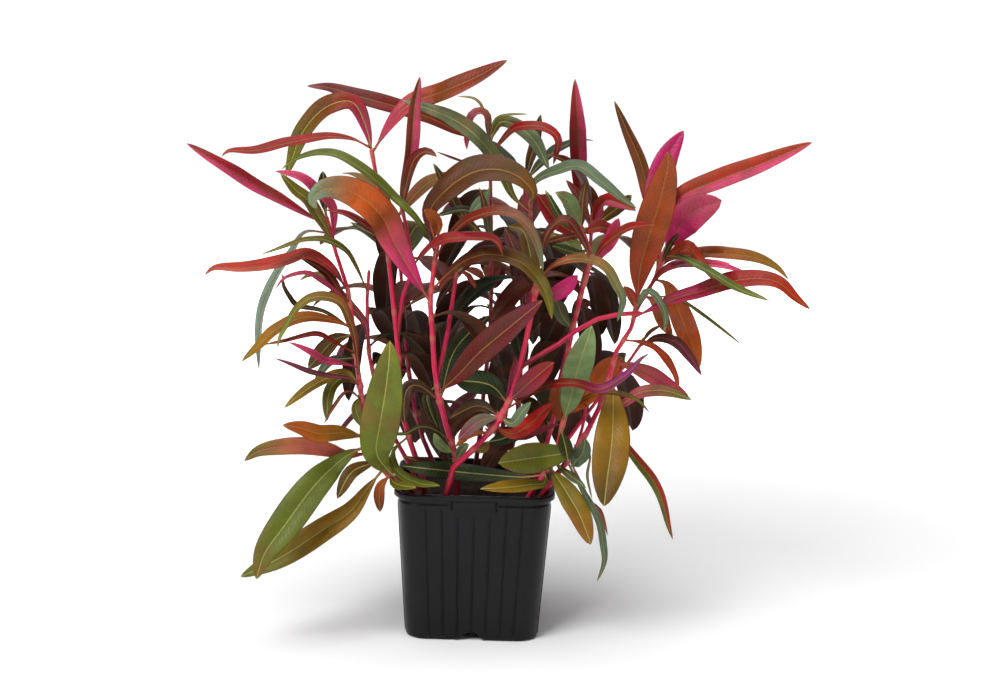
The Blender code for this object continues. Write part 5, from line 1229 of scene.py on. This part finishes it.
def leaf_material():
    material, tree, shader = start_material("leaf_blade")
    tone = attribute(tree, "tone", (-1200, 300)).outputs["Color"]
    rib = attribute(tree, "rib", (-1200, 100)).outputs["Color"]
    spot = attribute(tree, "spot", (-1200, -100)).outputs["Vector"]
    trait = attribute(tree, "trait", (-1200, -300)).outputs["Vector"]
    spots = tree.nodes.new("ShaderNodeSeparateXYZ")
    tree.links.new(spot, spots.inputs[0])
    traits = tree.nodes.new("ShaderNodeSeparateXYZ")
    tree.links.new(trait, traits.inputs[0])
    along, across, share = spots.outputs
    under = traits.outputs[1]
    space = object_vector(tree)
    clouds = texture(tree, "ShaderNodeTexNoise", 55.0, space, Detail=4.0, Roughness=0.6)
    colour = blend_colours(tree, remap(tree, clouds.outputs["Fac"], 0.35, 0.7, 0.0, 0.45), tone,
                           (0.03, 0.035, 0.008, 1.0))
    blotch = texture(tree, "ShaderNodeTexNoise", 28.0, space, Detail=3.0, Roughness=0.55)
    colour = blend_colours(tree, remap(tree, blotch.outputs["Fac"], 0.52, 0.75, 0.0, 0.35), colour,
                           (0.30, 0.055, 0.02, 1.0))
    far = math_node(tree, "ABSOLUTE", across)
    slant = math_node(tree, "SUBTRACT", along, math_node(tree, "MULTIPLY", far, 0.95))
    wobble = math_node(tree, "MULTIPLY", clouds.outputs["Fac"], 1.6)
    turns = math_node(tree, "MULTIPLY", math_node(tree, "ADD", slant, wobble), 0.36)
    ridge = math_node(tree, "ABSOLUTE", math_node(tree, "SUBTRACT", math_node(tree, "FRACT", turns), 0.5))
    vein = remap(tree, ridge, 0.06, 0.0)
    inside = remap(tree, math_node(tree, "ABSOLUTE", share), 0.9, 0.6)
    vein = math_node(tree, "MULTIPLY", vein, inside)
    colour = blend_colours(tree, math_node(tree, "MULTIPLY", vein, 0.22), colour, rib)
    middle = remap(tree, far, 0.42, 0.2)
    colour = blend_colours(tree, math_node(tree, "MULTIPLY", middle, 0.8), colour, rib)
    tree.links.new(colour, shader.inputs["Base Color"])
    rough = remap(tree, clouds.outputs["Fac"], 0.3, 0.7, 0.42, 0.6)
    rough = math_node(tree, "ADD", rough, math_node(tree, "MULTIPLY", under, 0.12))
    tree.links.new(rough, shader.inputs["Roughness"])
    grain = texture(tree, "ShaderNodeTexNoise", 900.0, space, Detail=3.0)
    height = math_node(tree, "SUBTRACT", math_node(tree, "MULTIPLY", grain.outputs["Fac"], 0.35),
                       math_node(tree, "MULTIPLY", vein, 0.5))
    height = math_node(tree, "ADD", height, math_node(tree, "MULTIPLY", blotch.outputs["Fac"], 1.2))
    add_bump(tree, shader, height, 0.7, 0.0005)
    shader.inputs["Specular IOR Level"].default_value = 0.24
    return material


def stem_material():
    material, tree, shader = start_material("stem_skin")
    tone = attribute(tree, "tone", (-900, 300)).outputs["Color"]
    spots = tree.nodes.new("ShaderNodeSeparateXYZ")
    tree.links.new(attribute(tree, "spot", (-900, 0)).outputs["Vector"], spots.inputs[0])
    traits = tree.nodes.new("ShaderNodeSeparateXYZ")
    tree.links.new(attribute(tree, "trait", (-900, -200)).outputs["Vector"], traits.inputs[0])
    joint = traits.outputs[0]
    space = object_vector(tree)
    clouds = texture(tree, "ShaderNodeTexNoise", 90.0, space, Detail=4.0, Roughness=0.6)
    colour = blend_colours(tree, remap(tree, clouds.outputs["Fac"], 0.45, 0.75, 0.0, 0.35), tone,
                           (0.16, 0.012, 0.02, 1.0))
    stretch = tree.nodes.new("ShaderNodeCombineXYZ")
    tree.links.new(math_node(tree, "MULTIPLY", spots.outputs[0], 0.06), stretch.inputs[0])
    tree.links.new(spots.outputs[1], stretch.inputs[1])
    tree.links.new(spots.outputs[2], stretch.inputs[2])
    lines = texture(tree, "ShaderNodeTexNoise", 5.0, stretch.outputs[0], Detail=3.0)
    colour = blend_colours(tree, remap(tree, lines.outputs["Fac"], 0.52, 0.75, 0.0, 0.35), colour,
                           (0.72, 0.16, 0.22, 1.0))
    colour = blend_colours(tree, math_node(tree, "MULTIPLY", joint, 0.45), colour, (0.36, 0.2, 0.1, 1.0))
    tree.links.new(colour, shader.inputs["Base Color"])
    tree.links.new(remap(tree, lines.outputs["Fac"], 0.3, 0.7, 0.34, 0.5), shader.inputs["Roughness"])
    add_bump(tree, shader, lines.outputs["Fac"], 0.3, 0.0002)
    shader.inputs["Specular IOR Level"].default_value = 0.32
    return material


def soil_material():
    material, tree, shader = start_material("soil_peat")
    space = object_vector(tree)
    crumbs = texture(tree, "ShaderNodeTexVoronoi", 480.0, space)
    clouds = texture(tree, "ShaderNodeTexNoise", 140.0, space, Detail=6.0, Roughness=0.65)
    colour = blend_colours(tree, remap(tree, clouds.outputs["Fac"], 0.35, 0.7), (0.007, 0.005, 0.004, 1.0),
                           (0.055, 0.03, 0.016, 1.0))
    fibres = texture(tree, "ShaderNodeTexNoise", 60.0, space, Detail=5.0, Distortion=2.0)
    colour = blend_colours(tree, remap(tree, fibres.outputs["Fac"], 0.6, 0.68, 0.0, 0.6), colour,
                           (0.13, 0.075, 0.035, 1.0))
    tree.links.new(colour, shader.inputs["Base Color"])
    tree.links.new(remap(tree, clouds.outputs["Fac"], 0.3, 0.7, 0.7, 0.95), shader.inputs["Roughness"])
    height = math_node(tree, "ADD", crumbs.outputs["Distance"], clouds.outputs["Fac"])
    add_bump(tree, shader, height, 0.9, 0.001)
    return material


def pot_material():
    material, tree, shader = start_material("pot_plastic")
    space = object_vector(tree)
    clouds = texture(tree, "ShaderNodeTexNoise", 30.0, space, Detail=5.0, Roughness=0.6)
    colour = blend_colours(tree, remap(tree, clouds.outputs["Fac"], 0.35, 0.7), (0.0015, 0.0015, 0.002, 1.0),
                           (0.004, 0.004, 0.0052, 1.0))
    dust = texture(tree, "ShaderNodeTexNoise", 400.0, space, Detail=6.0, Roughness=0.7)
    colour = blend_colours(tree, remap(tree, dust.outputs["Fac"], 0.62, 0.8, 0.0, 0.22), colour,
                           (0.03, 0.03, 0.032, 1.0))
    tree.links.new(colour, shader.inputs["Base Color"])
    tree.links.new(remap(tree, clouds.outputs["Fac"], 0.3, 0.7, 0.3, 0.46), shader.inputs["Roughness"])
    add_bump(tree, shader, dust.outputs["Fac"], 0.1, 0.0004)
    shader.inputs["Specular IOR Level"].default_value = 0.22
    return material


def body_width(height):
    return BODY_BASE_WIDTH + (BODY_TOP_WIDTH - BODY_BASE_WIDTH) * height / (POT_HEIGHT - RIM_DROP)


def body_corner(height):
    return BODY_BASE_CORNER + (BODY_TOP_CORNER - BODY_BASE_CORNER) * height / (POT_HEIGHT - RIM_DROP)


def notch_outline(grow, low):
    """The notch in the foot, or with a grown outline the bump that covers it inside."""
    slope = 0.5 * (NOTCH_BASE_WIDTH - NOTCH_TOP_WIDTH) / NOTCH_HEIGHT
    spread = grow * math.hypot(1.0, slope)
    top = NOTCH_HEIGHT + grow
    outline = []
    for side, height in ((-1, low), (1, low), (1, top), (-1, top)):
        outline.append((side * (0.5 * NOTCH_BASE_WIDTH - slope * height + spread), height))
    return outline


def finish_mesh(name, mesh):
    data = bpy.data.meshes.new(name)
    mesh.to_mesh(data)
    mesh.free()
    return data


def prism_mesh(name, outline, start, stop, turn):
    """A straight bar with the given outline across X and Z, running along Y, turned about Z."""
    mesh = bmesh.new()
    ends = []
    for along in (start, stop):
        ring = []
        for across, height in outline:
            spot = (across * math.cos(turn) - along * math.sin(turn),
                    across * math.sin(turn) + along * math.cos(turn), height)
            ring.append(mesh.verts.new(Vector(spot) * MM))
        ends.append(ring)
    count = len(outline)
    for index in range(count):
        other = (index + 1) % count
        mesh.faces.new((ends[0][index], ends[0][other], ends[1][other], ends[1][index]))
    mesh.faces.new(ends[0][::-1])
    mesh.faces.new(ends[1])
    bmesh.ops.triangulate(mesh, faces=mesh.faces)
    bmesh.ops.recalc_face_normals(mesh, faces=mesh.faces)
    return finish_mesh(name, mesh)


def wall_ring(width, corner, height, ribs, pad):
    """A rounded square with many points a side, raised where the ribs and the smooth pad are."""
    flat = 0.5 * width - corner
    points = []
    for side in range(4):
        turn = 0.5 * math.pi * side
        centres = (np.arange(RIB_COUNT) - 0.5 * (RIB_COUNT - 1)) * RIB_SPACING * width / BODY_TOP_WIDTH
        along = np.sort(np.concatenate((np.linspace(-flat, flat, SIDE_STEPS),
                                        (centres[:, None] + RIB_EDGES).ravel())))
        out = np.full(len(along), 0.5 * width)
        for centre in centres:
            out += ribs * RIB_RELIEF * np.clip(1.5 - np.abs(along - centre) / (0.5 * RIB_WIDTH), 0.0, 1.0)
        share = np.clip((0.5 * TAB_WIDTH - np.abs(along)) / 1.2 + 0.5, 0.0, 1.0)
        share = share * share * (3.0 - 2.0 * share)
        out = out + share * np.maximum(pad - (out - 0.5 * width), 0.0)
        for step in range(len(along)):
            points.append((out[step] * math.cos(turn) - along[step] * math.sin(turn),
                           out[step] * math.sin(turn) + along[step] * math.cos(turn), height))
        for step in range(1, CORNER_STEPS):
            angle = turn + 0.5 * math.pi * step / CORNER_STEPS
            centre_x, centre_y = (flat * math.cos(turn) - flat * math.sin(turn),
                                  flat * math.sin(turn) + flat * math.cos(turn))
            points.append((centre_x + corner * math.cos(angle), centre_y + corner * math.sin(angle), height))
    return points


def carve(piece, cutters, material):
    """Join closed meshes to a piece, or cut them from it, and keep the result as its mesh."""
    helpers = []
    for operation, data in cutters:
        helper = bpy.data.objects.new(data.name, data)
        bpy.context.scene.collection.objects.link(helper)
        helpers.append(helper)
        step = piece.modifiers.new(data.name, "BOOLEAN")
        step.operation = operation
        step.solver = "EXACT"
        step.object = helper
    data = bpy.data.meshes.new_from_object(piece.evaluated_get(bpy.context.evaluated_depsgraph_get()))
    piece.modifiers.clear()
    piece.data = data
    for helper in helpers:
        bpy.data.objects.remove(helper)
    data.materials.clear()
    data.materials.append(material)
    data.polygons.foreach_set("use_smooth", [True] * len(data.polygons))
    data.set_sharp_from_angle(angle=math.radians(40.0))


def build_pot(material):
    """The moulded pot: ribbed walls, a grooved lip with a smooth pad on each side, notches and drains."""
    rim_low = POT_HEIGHT - RIM_DROP
    levels = [(BODY_BASE_WIDTH - 2.4, BODY_BASE_CORNER - 1.2, 0.0, 0.0, 0.0),
              (BODY_BASE_WIDTH - 1.0, BODY_BASE_CORNER - 0.5, 0.2, 0.0, 0.0),
              (body_width(1.0) - 0.2, body_corner(1.0), 0.9, 0.4, 0.0),
              (body_width(1.6), body_corner(1.6), 1.6, 1.0, 0.0)]
    for height in np.linspace(4.0, rim_low - TAB_DROP, 16):
        levels.append((body_width(height), body_corner(height), float(height), 1.0, 0.0))
    for share in np.linspace(0.1, 1.0, 10):
        height = rim_low - TAB_DROP + share * (TAB_DROP - GROOVE_DROP)
        pad = share * 0.5 * (RIM_WIDTH - body_width(height)) * 0.8
        levels.append((body_width(height), body_corner(height), height, 1.0 - share ** 4, pad))
    for drop, inset in ((GROOVE_DROP - 0.5, 0.15), (GROOVE_DROP - 1.2, GROOVE_DEPTH),
                        (0.9, GROOVE_DEPTH), (0.25, 0.3)):
        height = rim_low - drop
        levels.append((body_width(height) - 2 * inset, body_corner(height), height, 0.0,
                       0.42 * (RIM_WIDTH - body_width(height)) + inset))
    levels.append((RIM_WIDTH - 1.2, RIM_CORNER - 0.6, rim_low, 0.0, 0.0))
    for inset, height in ((0.25, rim_low + 0.05), (0.0, rim_low + 0.45), (0.0, POT_HEIGHT - 0.9),
                          (0.12, POT_HEIGHT - 0.45), (0.45, POT_HEIGHT - 0.12), (0.9, POT_HEIGHT)):
        levels.append((RIM_WIDTH - 2 * inset, RIM_CORNER - inset, height, 0.0, 0.0))
    inner = BODY_TOP_WIDTH - 2 * WALL
    for width, height in ((inner + 1.4, POT_HEIGHT), (inner + 0.4, POT_HEIGHT - 0.3),
                          (inner, POT_HEIGHT - 1.0)):
        levels.append((width, BODY_TOP_CORNER - WALL, height, 0.0, 0.0))
    for height in (SOIL_TOP - 2.0, 40.0, FLOOR + 0.6, FLOOR):
        levels.append((body_width(height) - 2 * WALL - (0.8 if height == FLOOR else 0.0),
                       body_corner(height) - WALL, height, 0.0, 0.0))
    rings = [wall_ring(*level) for level in levels]
    mesh = bmesh.new()
    corners = [[mesh.verts.new(Vector(point) * MM) for point in ring] for ring in rings]
    count = len(corners[0])
    for lower, higher in zip(corners[:-1], corners[1:]):
        for index in range(count):
            other = (index + 1) % count
            mesh.faces.new((lower[index], lower[other], higher[other], higher[index]))
    mesh.faces.new(corners[0][::-1])
    mesh.faces.new(corners[-1])
    bmesh.ops.recalc_face_normals(mesh, faces=mesh.faces)
    pot = bpy.data.objects.new("pot_shell", finish_mesh("pot_shell", mesh))
    bpy.context.scene.collection.objects.link(pot)
    cutters = []
    wall = -0.5 * BODY_BASE_WIDTH
    for side in range(4):
        turn = 0.5 * math.pi * side
        bump = prism_mesh("bump", notch_outline(NOTCH_SKIN, 0.2), wall + 1.1,
                          wall + NOTCH_DEPTH + NOTCH_SKIN, turn)
        cutters.append(("UNION", bump))
    for side in range(4):
        turn = 0.5 * math.pi * side
        cutters.append(("DIFFERENCE", prism_mesh("notch", notch_outline(0.0, -1.0), wall - 4.0,
                                                 wall + NOTCH_DEPTH, turn)))
    for across in (-1, 1):
        for along in (-1, 1):
            mesh = bmesh.new()
            bmesh.ops.create_cone(mesh, cap_ends=True, segments=DRAIN_SIDES, radius1=DRAIN_RADIUS * MM,
                                  radius2=DRAIN_RADIUS * MM, depth=8.0 * MM)
            bmesh.ops.translate(mesh, verts=mesh.verts, vec=Vector((across, along, 0.0)) * DRAIN_SPOT * MM)
            cutters.append(("DIFFERENCE", finish_mesh("drain", mesh)))
    carve(pot, cutters, material)
    return pot


def build_soil(material):
    """The crumbly top of the soil over a plain block that fills the pot."""
    width = body_width(SOIL_TOP) - 2 * (WALL + SOIL_GAP) - SOIL_PLAY
    corner = body_corner(SOIL_TOP) - WALL - SOIL_GAP
    half = 0.5 * width
    mesh = bmesh.new()
    top = []
    for row in range(SOIL_GRID):
        line = []
        for column in range(SOIL_GRID):
            across = -1.0 + 2.0 * column / (SOIL_GRID - 1)
            along = -1.0 + 2.0 * row / (SOIL_GRID - 1)
            x, y = across * half, along * half
            near_corner = math.hypot(max(abs(x) - half + corner, 0.0), max(abs(y) - half + corner, 0.0))
            if near_corner > corner:
                x = math.copysign(half - corner + (abs(x) - half + corner) * corner / near_corner, x)
                y = math.copysign(half - corner + (abs(y) - half + corner) * corner / near_corner, y)
            spot = Vector((x, y, 0.0))
            crown = (SOIL_CROWN - SOIL_TOP) * (1.0 - max(abs(across), abs(along)) ** 3)
            rough = noise.fractal(spot * 0.16, 0.7, 2.1, 5) + 0.5 * noise.noise(spot * 0.9)
            height = SOIL_TOP + crown + SOIL_ROUGHNESS * rough - 0.3
            line.append(mesh.verts.new(Vector((x, y, height)) * MM))
        top.append(line)
    base_scale = (body_width(FLOOR) - 2 * (WALL + SOIL_GAP) - SOIL_PLAY) / width
    low = FLOOR + SOIL_GAP
    for row in range(SOIL_GRID - 1):
        for column in range(SOIL_GRID - 1):
            mesh.faces.new((top[row][column], top[row][column + 1],
                            top[row + 1][column + 1], top[row + 1][column]))
    border = ([top[0][i] for i in range(SOIL_GRID)] + [top[i][-1] for i in range(1, SOIL_GRID)]
              + [top[-1][i] for i in range(SOIL_GRID - 2, -1, -1)]
              + [top[i][0] for i in range(SOIL_GRID - 2, 0, -1)])
    foot = [mesh.verts.new(Vector((vert.co.x * base_scale, vert.co.y * base_scale, low * MM)))
            for vert in border]
    for index in range(len(border)):
        other = (index + 1) % len(border)
        mesh.faces.new((border[index], foot[index], foot[other], border[other]))
    mesh.faces.new(foot)
    bmesh.ops.remove_doubles(mesh, verts=mesh.verts, dist=1e-7)
    bmesh.ops.dissolve_degenerate(mesh, edges=mesh.edges, dist=1e-7)
    bmesh.ops.recalc_face_normals(mesh, faces=mesh.faces)
    soil = bpy.data.objects.new("soil_peat", finish_mesh("soil_peat", mesh))
    bpy.context.scene.collection.objects.link(soil)
    wall = -0.5 * BODY_BASE_WIDTH
    room = NOTCH_SKIN + SOIL_GAP + 0.1
    cutters = []
    for side in range(4):
        hollow = prism_mesh("hollow", notch_outline(room, -1.0), wall - 2.0, wall + NOTCH_DEPTH + room,
                            0.5 * math.pi * side)
        cutters.append(("DIFFERENCE", hollow))
    carve(soil, cutters, material)
    return soil


def build_plant(stem_skin, leaf_skin):
    lines = stem_lines()
    leaves = all_leaves(lines)
    settle(leaves, lines)
    fill_inside(leaves, lines)
    pieces = []
    for order, (name, parent, root, radii, depths, path) in enumerate(STEMS):
        skin = Skin()
        line, sizes = lines[name]
        joints = []
        for index, leaf in enumerate(leaves):
            if leaf.stem == name:
                base = place(leaf.pixels[:1], leaf.depths[:1])[0]
                joints.append(base)
                if not leaf.own:
                    add_blade(skin, leaf, index, 1)
                aim = place(leaf.pixels[2:3], leaf.depths[2:3])[0] - base
                aim = aim / np.linalg.norm(aim) + np.array((0.0, 0.0, 0.9))
                if index % 2 == 0:
                    add_bud(skin, base + aim / np.linalg.norm(aim) * 0.8, aim, index, 1)
        # Painted shade: stems at the back and far side of the bush are darkened
        painted_shade_gain = 0.55 if "back" in name or "far" in name else 1.0
        add_stem(skin, line, sizes, joints, order, 0, painted_shade_gain)
        piece = skin.make(name + "_foliage", (stem_skin, leaf_skin))
        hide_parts(name)
        pieces.append(piece)
    for index, leaf in enumerate(leaves):
        if leaf.own:
            skin = Skin()
            add_blade(skin, leaf, index, 0)
            piece = skin.make(leaf.own + "_blade", (leaf_skin,))
            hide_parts(leaf.own)
            pieces.append(piece)
    return pieces


def area_light(name, place_at, aim_at, size, power, colour=(1.0, 1.0, 1.0)):
    light = bpy.data.lights.new(name, "AREA")
    light.shape = "RECTANGLE"
    light.size, light.size_y = size
    light.energy = power
    light.color = colour
    obj = bpy.data.objects.new(name, light)
    obj.location = place_at
    obj.rotation_euler = (Vector(aim_at) - Vector(place_at)).to_track_quat("-Z", "Y").to_euler()
    bpy.context.scene.collection.objects.link(obj)


def build_studio():
    floor_mesh = bmesh.new()
    bmesh.ops.create_circle(floor_mesh, cap_ends=True, segments=FLOOR_SIDES, radius=FLOOR_REACH)
    bmesh.ops.translate(floor_mesh, verts=floor_mesh.verts, vec=(0.0, 0.0, FLOOR_LEVEL))
    data = finish_mesh("floor", floor_mesh)
    material, tree, shader = start_material("floor_white")
    space = object_vector(tree)
    clouds = texture(tree, "ShaderNodeTexNoise", 3.0, space, Detail=2.0)
    colour = blend_colours(tree, clouds.outputs["Fac"], (0.93, 0.93, 0.93, 1.0), (0.96, 0.96, 0.96, 1.0))
    tree.links.new(colour, shader.inputs["Base Color"])
    reach = tree.nodes.new("ShaderNodeVectorMath")
    reach.operation = "LENGTH"
    tree.links.new(space, reach.inputs[0])
    tree.links.new(remap(tree, reach.outputs["Value"], GLOW_FROM, GLOW_UNTIL),
                   shader.inputs["Emission Strength"])
    shader.inputs["Emission Color"].default_value = (1.0, 1.0, 1.0, 1.0)
    shader.inputs["Roughness"].default_value = 0.9
    shader.inputs["Specular IOR Level"].default_value = 0.1
    data.materials.append(material)
    floor = bpy.data.objects.new("floor", data)
    bpy.context.scene.collection.objects.link(floor)
    world = bpy.data.worlds.new("studio")
    world.use_nodes = True
    background = world.node_tree.nodes["Background"]
    background.inputs["Color"].default_value = (1.0, 1.0, 1.0, 1.0)
    heights = world.node_tree.nodes.new("ShaderNodeSeparateXYZ")
    world.node_tree.links.new(object_vector(world.node_tree, "Generated"), heights.inputs[0])
    glow = remap(world.node_tree, heights.outputs[2], HORIZON_UNTIL, SKY_FROM, HORIZON_STRENGTH, SKY_STRENGTH)
    world.node_tree.links.new(glow, background.inputs["Strength"])
    bpy.context.scene.world = world
    bpy.context.scene.view_settings.view_transform = "Standard"
    area_light("key", (-0.9, -1.3, 1.6), (0.0, 0.0, 0.16), (1.0, 1.0), KEY_POWER)
    area_light("fill", (1.4, -1.1, 0.9), (0.0, 0.0, 0.16), (1.0, 1.0), FILL_POWER)
    area_light("back", (0.2, 1.5, 1.3), (0.0, 0.0, 0.2), (1.4, 0.8), BACK_POWER)
    area_light("top", (0.0, -0.1, 2.3), (0.0, 0.0, 0.2), (2.0, 2.0), TOP_POWER)


def build_camera():
    camera = bpy.data.cameras.new("view")
    camera.sensor_width = SENSOR_WIDTH
    camera.lens = VIEW_FOCAL * SENSOR_WIDTH / FRAME_WIDTH
    camera.clip_start = 0.05
    camera.clip_end = 30.0
    obj = bpy.data.objects.new("view", camera)
    turn = Matrix((VIEW_RIGHT, VIEW_UP, -SIGHT)).transposed()
    obj.matrix_world = Matrix.Translation(Vector(VIEW_POINT) * MM) @ turn.to_4x4()
    bpy.context.scene.collection.objects.link(obj)
    bpy.context.scene.camera = obj


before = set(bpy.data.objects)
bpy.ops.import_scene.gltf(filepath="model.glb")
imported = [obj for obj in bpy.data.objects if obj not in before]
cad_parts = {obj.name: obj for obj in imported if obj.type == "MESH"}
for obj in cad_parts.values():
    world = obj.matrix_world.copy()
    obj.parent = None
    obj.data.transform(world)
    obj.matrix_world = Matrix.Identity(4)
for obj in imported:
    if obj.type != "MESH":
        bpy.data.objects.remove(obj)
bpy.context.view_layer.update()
build_camera()
build_studio()
pot = build_pot(pot_material())
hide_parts("pot")
soil = build_soil(soil_material())
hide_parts("soil")
plant = build_plant(stem_material(), leaf_material())
for piece in [pot, soil] + plant:
    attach(piece, "root")
